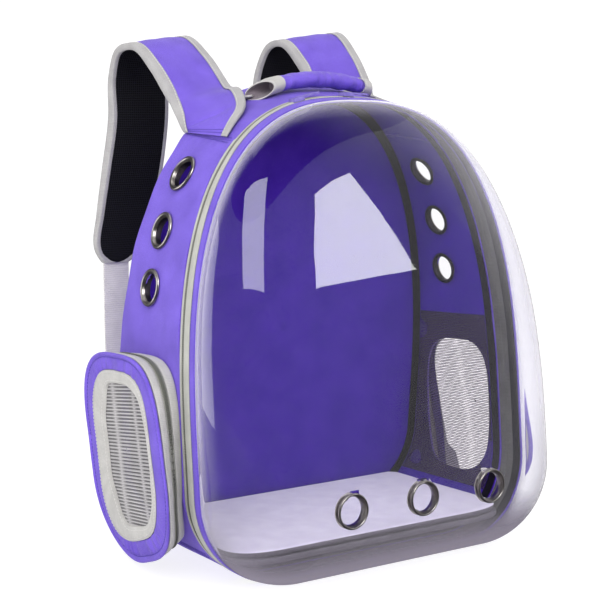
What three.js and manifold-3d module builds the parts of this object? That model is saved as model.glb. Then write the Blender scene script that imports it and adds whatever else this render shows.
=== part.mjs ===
// Pet carrier backpack: a fabric arch with a clear bubble front, a pouch on each side,
// a carry handle and two padded shoulder straps. Millimetres, +Z up, the front faces -Y.
// The origin is the middle of the base, on the floor.
import * as THREE from 'three';
import { mergeVertices } from 'three/addons/utils/BufferGeometryUtils.js';
import Module from 'manifold-3d';

const wasm = await Module();
wasm.setup();

// Body: the back and the front rim are two arches, and the fabric wall runs straight from one to the other
const halfDepth = 86.6;
const lean = 0.086;
const back = { half: 170, height: 417, shoulder: 112, corner: 76, roundX: 2.57, roundZ: 2.45 };
const rim = { half: 176, height: 400, shoulder: 112, corner: 76, roundX: 2.58, roundZ: 2.73 };
const wallThick = 2.5;
const backThick = 8;
const gap = 0.3;
const baseSeam = 1.5;
const shoulderSeam = 3.62;
const outlineSteps = [2, 5, 1, 12];

// Bands round the front opening, measured back from the rim along the wall
const borderWidth = 10.5;
const zipWidth = 17;
const zipTape = 1.6;
const zipCoil = { width: 5, proud: 0.8 };
const tapeThick = 1;
const tapeWidth = 9;

// Clear bubble
const dome = { depth: 67, fall: 1.27, fullest: 0.21, roll: 75, round: 2.45, thick: 1.5, middle: 200 };
const domeRollSteps = 5;
const domeFaceScales = [0.66, 0.33];

// Metal vent rings
const eyelet = { hole: 11, barrel: 12, flange: 16.5, crown: 2.6, washer: 15, washerThick: 1, sides: 14 };
const eyeletSeat = 0.5;
const eyeletCurveRoom = 2;
const drillLength = 30;
const eyeletDepth = 0.35;
const sideEyeletHeights = [337, 289, 241];
const domeEyelets = { spacing: 74, height: 64, flange: 15, seat: 0.4, washerDrop: 2.4 };

// Floor
const floorBoard = { underside: 19, thick: 5, front: 93, cornerDepth: 30, cornerWidth: 48 };
const floorBackRoom = 1.5;
const floorMat = { thick: 6, inset: 1.5 };

// Side pouches, laid out on the wall: depth along the bag, arc up the wall, height out from it. Towards the
// face they flare, lean further back and drop at their rear corner. They swell where the wall curves under
const pouch = { y: 8.5, arc: 31, halfY: 58, halfArc: 78.5, square: 3.2, sides: 24 };
const pouchForm = { flare: 14, slant: 0.05, faceSlant: 0.265, drop: 0.25, swell: 0.9 };
const pouchMiddle = 0.45;
const pouchLayers = [
  { name: 'band_rear', from: 0.6, to: 8.4, finish: 'grey' },
  { name: 'zip', from: 8.7, to: 14.3, finish: 'zip' },
  { name: 'band_front', from: 14.6, to: 21.3, finish: 'grey' },
];
const pouchBandThick = 3;
const pouchFace = { from: 22, to: 24.5, border: 14, binding: 13 };
const pouchMesh = { from: 22.6, to: 23.6 };
const pouchWindowScales = [0.5];
const windowMargin = 14;
const innerMesh = { low: 1.6, high: 3.13, thick: 0.8 };

// Carry handle, an arch along X on the top panel
const handle = { y: 5, top: 422, fall: 0.0022, halfWidth: 11, halfThick: 5.5, sides: 10, steps: 8 };
const handleParts = { grip: 44, cuff: 56, tab: 63 };
const cuffProud = 0.5;
const handleTab = { thick: 2, halfWidth: 8, steps: 4 };

// Shoulder straps. A row for each section along the strap, outward x: centre, half width, how far the outer
// edge stands forward, how much the edge on the +X side is higher, share of the strap's own rise, pad
// thickness and reach below the pad
const strapRows = [
  { x: 81, y: 78, z: 406, half: 33, forward: 0, tip: 8, rise: 0.2, thick: 6, under: 3.4 },
  { x: 83, y: 107, z: 432, half: 33, forward: 6, tip: 10, rise: 0.7, thick: 7, under: 3.4 },
  { x: 85, y: 142, z: 451, half: 33, forward: 10, tip: 10, rise: 1, thick: 7, under: 3.4 },
  { x: 86, y: 167, z: 447, half: 33, forward: 8, tip: 8, rise: 1, thick: 7, under: 3.4 },
  { x: 84, y: 182, z: 425, half: 33, forward: 6, tip: 4, rise: 0.8, thick: 7, under: 3.4 },
  { x: 83, y: 187, z: 385, half: 32, forward: 6, tip: 0, rise: 0.4, thick: 7, under: 3.4 },
  { x: 90, y: 188, z: 335, half: 32, forward: 4, tip: 0, rise: 0, thick: 7, under: 3.4 },
  { x: 99, y: 187, z: 294, half: 30, forward: 2, tip: 0, rise: 0, thick: 6, under: 3.4 },
  { x: 109, y: 184, z: 264, half: 25, forward: 0, tip: 0, rise: 0, thick: 5, under: 3.4 },
  { x: 113, y: 181, z: 248, half: 17, forward: 0, tip: 0, rise: 0, thick: 4, under: 3.4 },
];
const strapRise = { left: 0, right: 9 };
// The sewn foot turns on the top panel from the shoulder seam to the back edge: stations of its two edges,
// depth of the inner edge and height over the panel
const strapFoot = [
  { outerU: 3.63, innerU: 3.63, innerV: 0.72, lift: 0.8 },
  { outerU: 3.64, innerU: 3.72, innerV: 0.58, lift: 2.4 },
  { outerU: 3.65, innerU: 3.79, innerV: 0.38, lift: 3.6 },
  { outerU: 3.66, innerU: 3.84, innerV: 0.18, lift: 4.5 },
  { outerU: 3.67, innerU: 3.87, innerV: 0.03, lift: 4.8 },
];
const strapFootThick = 3;
const strapFootBack = 0.02;
const strapSteps = 2;
const strapBinding = 9;
const strapLining = 2.5;
const bindingProud = 0.6;
const webbing = { half: 13.5, thick: 1.8, steps: 10, hang: 160 };
const webbingFoot = { x: 126, low: 26, high: 46, leave: { y: 70, z: 25 } };

// Zip sliders at the top of the front zip, and their pulls
const sliderPlaces = { zip_slider_left: -50, zip_slider_right: 2 };
const slider = { length: 11, width: 8, thick: 3 };
const pull = { length: 24, width: 6, thick: 1.6, hole: 1.6 };

const finishes = {
  violet: { color: 0x7b5cf0, roughness: 0.75, metalness: 0 },
  grey: { color: 0xd3d1cd, roughness: 0.8, metalness: 0 },
  zip: { color: 0x8b8d85, roughness: 0.7, metalness: 0 },
  black: { color: 0x17171c, roughness: 0.85, metalness: 0 },
  metal: { color: 0x8d8883, roughness: 0.25, metalness: 1 },
  clear: { color: 0xe6e8f2, roughness: 0.05, metalness: 0 },
  mat: { color: 0xeae7f3, roughness: 0.9, metalness: 0 },
  board: { color: 0x807d86, roughness: 0.8, metalness: 0 },
  mesh: { color: 0xb3b1aa, roughness: 0.8, metalness: 0 },
  darkMesh: { color: 0x4b3f63, roughness: 0.85, metalness: 0 },
};

const sides = { left: -1, right: 1 };

const carrier = new THREE.Group();

function addPiece(group, name, geometry, finish) {
  const piece = new THREE.Mesh(geometry, new THREE.MeshStandardMaterial(finishes[finish]));
  piece.name = name;
  group.add(piece);
  return piece;
}

// Arch outline

// A point of the arch: u runs 0 to 1 along the floor, to 2 round the corner, to 3 up the side and to 4 over
// the arch to its top, and is negative on the left
function archPoint(shape, u, inset) {
  const step = Math.abs(u);
  const half = shape.half - inset;
  const corner = shape.corner - inset;
  const turn = ((step % 1 || Number(step > 0)) * Math.PI) / 2;
  let x = half;
  let z = inset;
  if (step <= 1) {
    x = step * (half - corner);
  } else if (step <= 2) {
    x = half - corner + corner * Math.sin(turn);
    z = inset + corner * (1 - Math.cos(turn));
  } else if (step <= 3) {
    z = shape.corner + (step - 2) * (shape.shoulder - shape.corner);
  } else {
    x = half * Math.max(Math.cos(turn), 0) ** (2 / shape.roundX);
    z = shape.shoulder + (shape.height - inset - shape.shoulder) * Math.sin(turn) ** (2 / shape.roundZ);
  }
  return { x: Math.sign(u) * x, z };
}

function backPoint(u, inset) {
  const { x, z } = archPoint(back, u, inset);
  return new THREE.Vector3(x, halfDepth - lean * z, z);
}

function rimPoint(u, inset) {
  const { x, z } = archPoint(rim, u, inset);
  return new THREE.Vector3(x, lean * z - halfDepth, z);
}

// The wall between the arches: v is 0 at the back and 1 at the rim
function wallPoint(u, v, inset = 0) {
  return backPoint(u, inset).lerp(rimPoint(u, inset), v);
}

function wallNormal(u, v) {
  const small = 0.002;
  const along = wallPoint(u + small, v).sub(wallPoint(u - small, v));
  const across = wallPoint(u, v + small).sub(wallPoint(u, v - small));
  return along.cross(across).normalize();
}

function fromRim(distance) {
  return (u, inset) => {
    const span = backPoint(u, inset).distanceTo(rimPoint(u, inset));
    return wallPoint(u, 1 - distance / span, inset);
  };
}

function fromBack(distance) {
  return (u, inset) => {
    const span = backPoint(u, inset).distanceTo(rimPoint(u, inset));
    return wallPoint(u, distance / span, inset);
  };
}

// The u at which the right wall reaches a height
function wallStation(z, v) {
  let low = 1;
  let high = 4;
  for (let turn = 0; turn < 40; turn += 1) {
    const middle = (low + high) / 2;
    if (wallPoint(middle, v).z < z) low = middle;
    else high = middle;
  }
  return (low + high) / 2;
}

// Outline stations between two values of u, both ends included
function stations(from, to) {
  const steps = (count, part) => Array.from({ length: count }, (_, i) => part + i / count);
  const half = outlineSteps.flatMap(steps);
  const grid = [...half.map((u) => -u), ...half].sort((a, b) => a - b);
  const tiny = 0.01;
  return [from, ...grid.filter((u, i) => u > from + tiny && u < to - tiny && u !== grid[i - 1]), to];
}

const fullOutline = stations(-4, 4).slice(0, -1);

// Solids

// Joins neighbouring sections, each with its corners in the same order, into one closed surface. The second
// half of the corners, or of a folded skin's sections, is the wall's other face and is split along the same
// diagonals
function skin(sections, closed, folded = false) {
  const size = sections[0].length;
  const corners = sections.flat();
  const triangles = [];
  const spans = closed ? sections.length : sections.length - 1;
  for (let span = 0; span < spans; span += 1) {
    const here = span * size;
    const next = ((span + 1) % sections.length) * size;
    for (let side = 0; side < size; side += 1) {
      const after = (side + 1) % size;
      const [a, b, c, d] = [here + side, here + after, next + after, next + side];
      const otherFace = folded ? span >= spans / 2 : side >= size / 2;
      triangles.push(...(otherFace ? [a, b, d, b, c, d] : [a, b, c, a, c, d]));
    }
  }
  if (!closed) {
    for (const [section, turn] of [[0, 1], [sections.length - 1, 0]]) {
      const middle = corners.length;
      const sum = sections[section].reduce((total, corner) => total.add(corner), new THREE.Vector3());
      corners.push(sum.divideScalar(size));
      for (let side = 0; side < size; side += 1) {
        const edge = [section * size + side, section * size + ((side + 1) % size)];
        triangles.push(middle, edge[turn], edge[1 - turn]);
      }
    }
  }
  return solidFrom(corners, triangles);
}

// An indexed geometry whose faces point out
function solidFrom(corners, triangles) {
  let volume = 0;
  for (let i = 0; i < triangles.length; i += 3) {
    const [a, b, c] = [corners[triangles[i]], corners[triangles[i + 1]], corners[triangles[i + 2]]];
    volume += a.dot(b.clone().cross(c));
  }
  if (volume < 0) triangles.reverse();
  const geometry = new THREE.BufferGeometry();
  geometry.setAttribute('position', new THREE.Float32BufferAttribute(corners.flatMap((p) => p.toArray()), 3));
  geometry.setIndex(triangles);
  geometry.computeVertexNormals();
  return geometry;
}

function toSolid(geometry) {
  const bare = geometry.clone();
  bare.deleteAttribute('normal');
  bare.deleteAttribute('uv');
  const welded = mergeVertices(bare, 1e-4);
  return new wasm.Manifold(new wasm.Mesh({
    numProp: 3,
    vertProperties: new Float32Array(welded.attributes.position.array),
    triVerts: new Uint32Array(welded.index.array),
  }));
}

function toGeometry(solid) {
  const mesh = solid.getMesh();
  const geometry = new THREE.BufferGeometry();
  geometry.setAttribute('position', new THREE.Float32BufferAttribute(mesh.vertProperties, 3));
  geometry.setIndex([...mesh.triVerts]);
  geometry.computeVertexNormals();
  return geometry;
}

function cutAway(geometry, cutters) {
  return toGeometry(cutters.reduce((solid, cutter) => solid.subtract(toSolid(cutter)), toSolid(geometry)));
}

// A round cutter for an eyelet's barrel
function eyeletHole({ point, normal }) {
  const radius = eyelet.barrel + gap;
  const cutter = new THREE.CylinderGeometry(radius, radius, drillLength, eyelet.sides);
  const turn = new THREE.Quaternion().setFromUnitVectors(new THREE.Vector3(0, 1, 0), normal);
  return cutter.applyQuaternion(turn).translate(point.x, point.y, point.z);
}

// Fabric body

// The four corners of a band at one station: a rear and a front edge, from an outer inset to an inner one
function bandSection(u, rear, front, outer, inner) {
  return [rear(u, outer), front(u, outer), front(u, inner), rear(u, inner)];
}

const panelFront = borderWidth + gap + zipWidth + gap;

function wallPanel(list) {
  return skin(list.map((u) => bandSection(u, fromBack(0), fromRim(panelFront), 0, wallThick)), false);
}

function ringBand(rear, front, outer, inner) {
  return skin(fullOutline.map((u) => bandSection(u, rear, front, outer, inner)), true);
}

function seamStep(u) {
  const small = 0.001;
  return (gap / 2) * (small / wallPoint(u, 0.5).distanceTo(wallPoint(u + small, 0.5)));
}

function addWalls(group) {
  const base = baseSeam - seamStep(baseSeam);
  const top = shoulderSeam + seamStep(shoulderSeam);
  addPiece(group, 'base_panel', wallPanel(stations(-base, base)), 'violet');
  const arch = stations(top, 4);
  const overTop = [...arch.slice(0, -1), ...arch.map((u) => -u).reverse()];
  addPiece(group, 'top_panel', wallPanel(overTop), 'violet');
  const sideStations = stations(baseSeam + seamStep(baseSeam), shoulderSeam - seamStep(shoulderSeam));
  for (const [side, sign] of Object.entries(sides)) {
    const panel = wallPanel(sideStations.map((u) => sign * u));
    const holes = sideEyeletPlaces(sign).map(eyeletHole);
    addPiece(group, `side_panel_${side}`, cutAway(panel, [...holes, windowCutter(sign)]), 'violet');
  }
}

function addBack(group) {
  const inset = wallThick + gap;
  const outline = (depth, edge) => fullOutline.map((u) => fromBack(depth)(u, edge));
  addPiece(group, 'back_panel', skin([outline(0, inset), outline(backThick, inset)], false), 'violet');
  const face = backThick + gap;
  const corners = [[face, inset], [face, inset + tapeWidth], [face + tapeThick, inset + tapeWidth]];
  corners.push([face + tapeThick, inset]);
  const rings = corners.map(([depth, edge]) => outline(depth, edge));
  const sections = fullOutline.map((_, i) => rings.map((ring) => ring[i]));
  addPiece(group, 'back_binding', skin(sections, true), 'black');
}

function addFrontBands(group) {
  addPiece(group, 'front_border', ringBand(fromRim(borderWidth), fromRim(gap), 0, wallThick), 'violet');
  const start = borderWidth + gap;
  const middle = start + zipWidth / 2;
  const profile = [
    [start, zipCoil.proud], [middle - zipCoil.width / 2, zipCoil.proud], [middle, 0],
    [middle + zipCoil.width / 2, zipCoil.proud], [start + zipWidth, zipCoil.proud],
    [start + zipWidth, zipCoil.proud + zipTape], [start, zipCoil.proud + zipTape],
  ];
  const zip = fullOutline.map((u) => profile.map(([distance, inset]) => fromRim(distance)(u, inset)));
  addPiece(group, 'front_zip', skin(zip, true), 'zip');
  const inside = wallThick + gap;
  const tapes = { rim_binding_front: 1, rim_binding_rear: panelFront + gap };
  for (const [name, front] of Object.entries(tapes)) {
    const tape = ringBand(fromRim(front + tapeWidth), fromRim(front), inside, inside + tapeThick);
    addPiece(group, name, tape, 'black');
  }
}

// Clear bubble

function domeDepth(z) {
  return dome.depth * (1 - dome.fall * (z / rim.height - dome.fullest) ** 2);
}

// A point of the bubble, rise 0 at the rim and 1 on its face, scaled towards the middle of the face
function domePoint(u, inset, rise, scale, loss) {
  const { x, z } = archPoint(rim, u, inset);
  const high = dome.middle + (z - dome.middle) * scale;
  const out = rise * (domeDepth(high) - loss);
  const slope = Math.hypot(1, lean);
  return new THREE.Vector3(x * scale, lean * high - halfDepth - out / slope, high + (out * lean) / slope);
}

// The edge rolls over as a superellipse from the rim on to the face
function domeRoll(turn, skinInset) {
  const inset = skinInset + (dome.roll - skinInset) * (1 - Math.max(Math.cos(turn), 0) ** (2 / dome.round));
  return { inset, rise: Math.sin(turn) ** (2 / dome.round) };
}

function domeRings(skinInset) {
  const rings = [];
  for (let step = 0; step <= domeRollSteps; step += 1) {
    const { inset, rise } = domeRoll((step / domeRollSteps) * (Math.PI / 2), skinInset);
    rings.push(fullOutline.map((u) => domePoint(u, inset, rise, 1, skinInset)));
  }
  for (const scale of domeFaceScales) {
    rings.push(fullOutline.map((u) => domePoint(u, dome.roll, 1, scale, skinInset)));
  }
  return rings;
}

// Place and direction of a vent low on the bubble, x across and z up the rim plane
function domeVent(x) {
  const onFace = (across, up) => {
    const rise = (1 - (1 - up / dome.roll) ** dome.round) ** (1 / dome.round);
    return domePoint(across / (rim.half - rim.corner), up, rise, 1, 0);
  };
  const point = onFace(x, domeEyelets.height);
  const across = onFace(x + 1, domeEyelets.height).sub(point);
  const up = onFace(x, domeEyelets.height + 1).sub(point);
  return { point, normal: across.cross(up).normalize() };
}

function addDome(group) {
  const outside = domeRings(0);
  const inside = domeRings(dome.thick);
  const shell = skin([...outside.reverse(), ...inside], false, true);
  const vents = [-1, 0, 1].map((place) => domeVent(place * domeEyelets.spacing));
  addPiece(group, 'clear_dome', cutAway(shell, vents.map(eyeletHole)), 'clear');
  const { seat, flange, washerDrop } = domeEyelets;
  vents.forEach(({ point, normal }, i) => {
    const ring = eyeletRing(flange, seat, dome.thick + washerDrop);
    placeEyelet(group, `dome_eyelet_${i + 1}`, ring, point, normal);
  });
}

// Vent rings

// A rolled flange outside, a barrel through the wall and a washer inside, turned about +Y
function eyeletRing(flange, seat, washerTop) {
  const profile = [
    [eyelet.hole, eyelet.crown], [(eyelet.hole + flange) / 2, eyelet.crown], [flange, seat],
    [eyelet.barrel, seat], [eyelet.barrel, -washerTop], [eyelet.washer, -washerTop],
    [eyelet.hole, -washerTop - eyelet.washerThick],
  ].map(([radius, height]) => new THREE.Vector2(radius, height));
  return toGeometry(toSolid(solidLathe([...profile, profile[0]])));
}

function solidLathe(profile) {
  const turned = new THREE.LatheGeometry(profile, eyelet.sides);
  turned.deleteAttribute('normal');
  turned.deleteAttribute('uv');
  const welded = mergeVertices(turned, 1e-4);
  const corners = [];
  const place = welded.attributes.position;
  for (let i = 0; i < place.count; i += 1) corners.push(new THREE.Vector3().fromBufferAttribute(place, i));
  return solidFrom(corners, [...welded.index.array]);
}

function placeEyelet(group, name, ring, point, normal) {
  const piece = addPiece(group, name, ring, 'metal');
  piece.position.copy(point);
  piece.quaternion.setFromUnitVectors(new THREE.Vector3(0, 1, 0), normal);
}

function sideEyeletPlaces(sign) {
  return sideEyeletHeights.map((z) => {
    const u = wallStation(z, eyeletDepth);
    return { point: wallPoint(sign * u, eyeletDepth), normal: wallNormal(sign * u, eyeletDepth) };
  });
}

function addSideEyelets(group) {
  for (const [side, sign] of Object.entries(sides)) {
    sideEyeletPlaces(sign).forEach(({ point, normal }, i) => {
      const ring = eyeletRing(eyelet.flange, eyeletSeat, wallThick + eyeletCurveRoom);
      placeEyelet(group, `side_eyelet_${side}_${i + 1}`, ring, point, normal);
    });
  }
}

// Floor

// Half width between the tapes on the faceted walls at a height, at the back or the rim
function insideHalf(pointAt, z) {
  const outline = stations(0, 4).map((u) => pointAt(u, wallThick + gap + tapeThick));
  const i = outline.findIndex((point) => point.z > z);
  const share = (z - outline[i - 1].z) / (outline[i].z - outline[i - 1].z);
  return THREE.MathUtils.lerp(outline[i - 1].x, outline[i].x, share);
}

function floorPlate(underside, thick, inset, backEdge) {
  const backHalf = insideHalf(backPoint, underside) - 3 * gap - inset;
  const rimHalf = insideHalf(rimPoint, underside) - 3 * gap - inset;
  const front = floorBoard.front - inset;
  const { cornerDepth, cornerWidth } = floorBoard;
  const shape = new THREE.Shape();
  shape.moveTo(-backHalf, backEdge);
  shape.lineTo(-rimHalf, cornerDepth - front);
  shape.quadraticCurveTo(-rimHalf, -front, cornerWidth - rimHalf, -front);
  shape.lineTo(rimHalf - cornerWidth, -front);
  shape.quadraticCurveTo(rimHalf, -front, rimHalf, cornerDepth - front);
  shape.lineTo(backHalf, backEdge);
  return new THREE.ExtrudeGeometry(shape, { depth: thick, bevelEnabled: false, curveSegments: 6 });
}

function addFloor(group) {
  const matUnderside = floorBoard.underside + floorBoard.thick + gap;
  const backFace = halfDepth - lean * (matUnderside + floorMat.thick);
  const backEdge = backFace - backThick - tapeThick - floorBackRoom;
  const board = floorPlate(floorBoard.underside, floorBoard.thick, 0, backEdge);
  addPiece(group, 'floor_board', board, 'board').position.z = floorBoard.underside;
  const mat = floorPlate(floorBoard.underside, floorMat.thick, floorMat.inset, backEdge);
  addPiece(group, 'floor_mat', mat, 'mat').position.z = matUnderside;
}

// Side pouches

// A point of the pouch: angle round its outline, inset from its edge, height out from the wall
function pouchPoint(sign, angle, inset, height, scale = 1) {
  const round = (value) => Math.sign(value) * Math.abs(value) ** (2 / pouch.square);
  const share = height / pouchFace.to;
  const slant = THREE.MathUtils.lerp(pouchForm.slant, pouchForm.faceSlant, share);
  const arcOff = (pouch.halfArc - inset) * scale * round(Math.sin(angle));
  const yOff = (pouch.halfY + pouchForm.flare * share - inset) * scale * round(Math.cos(angle));
  const drop = pouchForm.drop * share * yOff * Math.max(-Math.sin(angle), 0);
  const arc = pouch.arc + arcOff - drop;
  const y = pouch.y + yOff + slant * arcOff;
  const deep = height * (1 + pouchForm.swell * Math.min(arc / pouch.halfArc, 0) ** 2);
  const quarterCorner = (rim.corner * Math.PI) / 2;
  const u = arc < 0 ? 2 + arc / quarterCorner : wallStation(rim.corner + arc, pouchMiddle);
  const span = 2 * (halfDepth - lean * wallPoint(u, pouchMiddle).z);
  const v = (span / 2 - y) / span;
  return wallPoint(sign * u, v).addScaledVector(wallNormal(sign * u, v), deep);
}

const pouchAngles = Array.from({ length: pouch.sides }, (_, i) => (i / pouch.sides) * 2 * Math.PI);

function pouchRing(sign, outer, inner, from, to) {
  const sections = pouchAngles.map((angle) => [
    pouchPoint(sign, angle, outer, from), pouchPoint(sign, angle, outer, to),
    pouchPoint(sign, angle, inner, to), pouchPoint(sign, angle, inner, from),
  ]);
  return skin(sections, true);
}

function pouchDisc(sign, inset, from, to) {
  const ring = (scale, height) => pouchAngles.map((angle) => pouchPoint(sign, angle, inset, height, scale));
  const under = [...pouchWindowScales].reverse().map((scale) => ring(scale, from));
  const over = pouchWindowScales.map((scale) => ring(scale, to));
  return skin([...under, ring(1, from), ring(1, to), ...over], false, true);
}

function windowCutter(sign) {
  const reach = 14;
  return pouchDisc(sign, windowMargin, -reach, reach);
}

function addPouches(group) {
  const bindingEdge = pouchFace.border + gap;
  const meshEdge = bindingEdge + pouchFace.binding + gap;
  const { from, to } = pouchFace;
  for (const [side, sign] of Object.entries(sides)) {
    for (const layer of pouchLayers) {
      const ring = pouchRing(sign, 0, pouchBandThick, layer.from, layer.to);
      addPiece(group, `pouch_${side}_${layer.name}`, ring, layer.finish);
    }
    addPiece(group, `pouch_${side}_panel`, pouchRing(sign, 0, pouchFace.border, from, to), 'violet');
    const binding = pouchRing(sign, bindingEdge, meshEdge - gap, from, to);
    addPiece(group, `pouch_${side}_window_binding`, binding, 'grey');
    const mesh = pouchDisc(sign, meshEdge, pouchMesh.from, pouchMesh.to);
    addPiece(group, `pouch_${side}_window_mesh`, mesh, 'mesh');
    addPiece(group, `side_mesh_${side}`, sideMesh(sign), 'darkMesh');
  }
}

// The inner mesh lies on the wall's inside, between the tapes at the back and the rim
function sideMesh(sign) {
  const rear = fromBack(backThick + tapeThick + 4 * gap);
  const front = fromRim(panelFront + tapeWidth + 3 * gap);
  const inside = wallThick + 2 * gap;
  const list = stations(innerMesh.low, innerMesh.high).map((u) => sign * u);
  return skin(list.map((u) => bandSection(u, rear, front, inside, inside + innerMesh.thick)), false);
}

// Carry handle

function handleHeight(x) {
  return handle.top - handle.fall * x * x;
}

// A rounded bar along X, following the handle's arch
function handleBar(from, to, steps, proud) {
  const sections = Array.from({ length: steps + 1 }, (_, i) => {
    const x = THREE.MathUtils.lerp(from, to, i / steps);
    return Array.from({ length: handle.sides }, (__, side) => {
      const angle = (side / handle.sides) * 2 * Math.PI;
      const y = handle.y + (handle.halfWidth + proud) * Math.cos(angle);
      return new THREE.Vector3(x, y, handleHeight(x) + (handle.halfThick + proud) * Math.sin(angle));
    });
  });
  return skin(sections, false);
}

// The flat tab drops from the end of the handle on to the top panel
function tabSolid(sign) {
  const from = handleParts.cuff + gap;
  const { thick, halfWidth, steps } = handleTab;
  const sections = Array.from({ length: steps + 1 }, (_, i) => {
    const share = i / steps;
    const x = THREE.MathUtils.lerp(from, handleParts.tab, share);
    const seat = topPanelHeight(x) + 2 * gap;
    const low = THREE.MathUtils.lerp(handleHeight(x) - thick / 2, seat, share ** 2);
    return [[-halfWidth, 0], [halfWidth, 0], [halfWidth, thick], [-halfWidth, thick]].map(([y, up]) => (
      new THREE.Vector3(sign * x, handle.y + y, low + up)));
  });
  return skin(sections, false);
}

// The highest point of the top panel under the handle's width
function topPanelHeight(x) {
  const edge = handle.y + handle.halfWidth;
  const outline = stations(3, 4).map((u) => {
    const depth = halfDepth - lean * backPoint(u, 0).z;
    return wallPoint(u, (depth - edge) / (2 * depth));
  });
  const i = outline.findIndex((point) => point.x < x);
  const share = (x - outline[i - 1].x) / (outline[i].x - outline[i - 1].x);
  return THREE.MathUtils.lerp(outline[i - 1].z, outline[i].z, share);
}

function addHandle(group) {
  const { grip, cuff } = handleParts;
  addPiece(group, 'handle_grip', handleBar(-grip, grip, handle.steps, 0), 'violet');
  for (const [side, sign] of Object.entries(sides)) {
    const ends = [grip + gap, cuff].map((x) => sign * x);
    addPiece(group, `handle_cuff_${side}`, handleBar(...ends, 2, cuffProud), 'grey');
    addPiece(group, `handle_tab_${side}`, tabSolid(sign), 'grey');
  }
}

// Shoulder straps

// Outer and inner edge of the strap's foot, laid on the top panel
function strapFootRows(sign) {
  const onPanel = (u, v, lift) => wallPoint(sign * u, v).addScaledVector(wallNormal(sign * u, v), lift);
  return strapFoot.map(({ outerU, innerU, innerV, lift }) => ({
    outer: onPanel(outerU, strapFootBack, lift),
    inner: onPanel(innerU, innerV, lift),
    thick: strapFootThick,
    under: 0,
  }));
}

function strapFreeRows(side) {
  const sign = sides[side];
  return strapRows.map(({ x, y, z, half, forward, tip, rise, thick, under }) => {
    const middle = z + rise * strapRise[side];
    return {
      outer: new THREE.Vector3(sign * (x + half), y - forward / 2, middle + (sign * tip) / 2),
      inner: new THREE.Vector3(sign * (x - half), y + forward / 2, middle - (sign * tip) / 2),
      thick,
      under,
    };
  });
}

// Rows between the foot and the strap's end, on smooth curves through the edges
function strapSmoothRows(rows) {
  const outerEdge = new THREE.CatmullRomCurve3(rows.map((row) => row.outer), false, 'centripetal');
  const innerEdge = new THREE.CatmullRomCurve3(rows.map((row) => row.inner), false, 'centripetal');
  const last = rows.length - 1;
  return Array.from({ length: last * strapSteps }, (_, i) => {
    const place = (i + 1) / strapSteps;
    const row = Math.min(Math.floor(place), last - 1);
    const mix = (column) => THREE.MathUtils.lerp(rows[row][column], rows[row + 1][column], place - row);
    return {
      outer: outerEdge.getPoint(place / last),
      inner: innerEdge.getPoint(place / last),
      thick: mix('thick'),
      under: mix('under'),
    };
  });
}

// Every row with its direction across the strap and its direction out of the purple face
function strapFrames(side) {
  const sign = sides[side];
  const foot = strapFootRows(sign);
  const rows = [...foot, ...strapSmoothRows([foot[foot.length - 1], ...strapFreeRows(side)])];
  const middles = rows.map((row) => row.outer.clone().lerp(row.inner, 0.5));
  return rows.map((row, i) => {
    const across = row.inner.clone().sub(row.outer).normalize();
    const along = middles[Math.min(i + 1, rows.length - 1)].clone().sub(middles[Math.max(i - 1, 0)]);
    const out = along.cross(across).multiplyScalar(sign).normalize();
    return { ...row, across, out };
  });
}

function strapCorner(origin, frame, across, out) {
  return origin.clone().addScaledVector(frame.across, across).addScaledVector(frame.out, out);
}

function strapPad(frames) {
  const edge = strapBinding + gap;
  return skin(frames.map((frame) => [
    strapCorner(frame.outer, frame, edge, 0), strapCorner(frame.inner, frame, -edge, 0),
    strapCorner(frame.inner, frame, -edge, frame.thick), strapCorner(frame.outer, frame, edge, frame.thick),
  ]), false);
}

function strapInside(frames) {
  const edge = strapBinding + gap;
  const low = -gap - strapLining;
  const lined = frames.slice(strapFoot.length - 1 + strapSteps);
  return skin(lined.map((frame) => [
    strapCorner(frame.outer, frame, edge, -gap), strapCorner(frame.inner, frame, -edge, -gap),
    strapCorner(frame.inner, frame, -edge, low), strapCorner(frame.outer, frame, edge, low),
  ]), false);
}

// The corners start low beside the pad, so that the binding and the pad twist alike
function strapEdge(frames, edge, sense) {
  const width = sense * strapBinding;
  return skin(frames.map((frame) => {
    const high = frame.thick + bindingProud;
    return [
      strapCorner(frame[edge], frame, width, -frame.under), strapCorner(frame[edge], frame, width, high),
      strapCorner(frame[edge], frame, 0, high), strapCorner(frame[edge], frame, 0, -frame.under),
    ];
  }), false);
}

// The webbing hangs from the strap's lower end and turns in to a foot sewn flat on the back, near the floor
function strapWebbing(sign, frames) {
  const end = frames[frames.length - 1];
  const start = end.outer.clone().lerp(end.inner, 0.5).addScaledVector(end.out, end.thick / 2);
  const { half, thick } = webbing;
  start.z -= gap + thick / 2;
  const backOffset = halfDepth + gap + thick / 2;
  const onBack = (z) => new THREE.Vector3(sign * webbingFoot.x, backOffset - lean * z, z);
  const foot = onBack(webbingFoot.high);
  const hung = start.clone().setZ(start.z - webbing.hang);
  const leaving = foot.clone().add(new THREE.Vector3(0, webbingFoot.leave.y, webbingFoot.leave.z));
  const line = new THREE.CubicBezierCurve3(start, hung, leaving, foot).getPoints(webbing.steps);
  line.push(onBack(webbingFoot.low));
  const sections = line.map((point, i) => {
    const along = line[Math.min(i + 1, line.length - 1)].clone().sub(line[Math.max(i - 1, 0)]);
    const out = new THREE.Vector3(1, 0, 0).cross(along).normalize();
    const place = (across, lift) => (
      point.clone().setX(point.x + across * half).addScaledVector(out, (lift * thick) / 2));
    return [place(-1, -1), place(1, -1), place(1, 1), place(-1, 1)];
  });
  return skin(sections, false);
}

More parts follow.
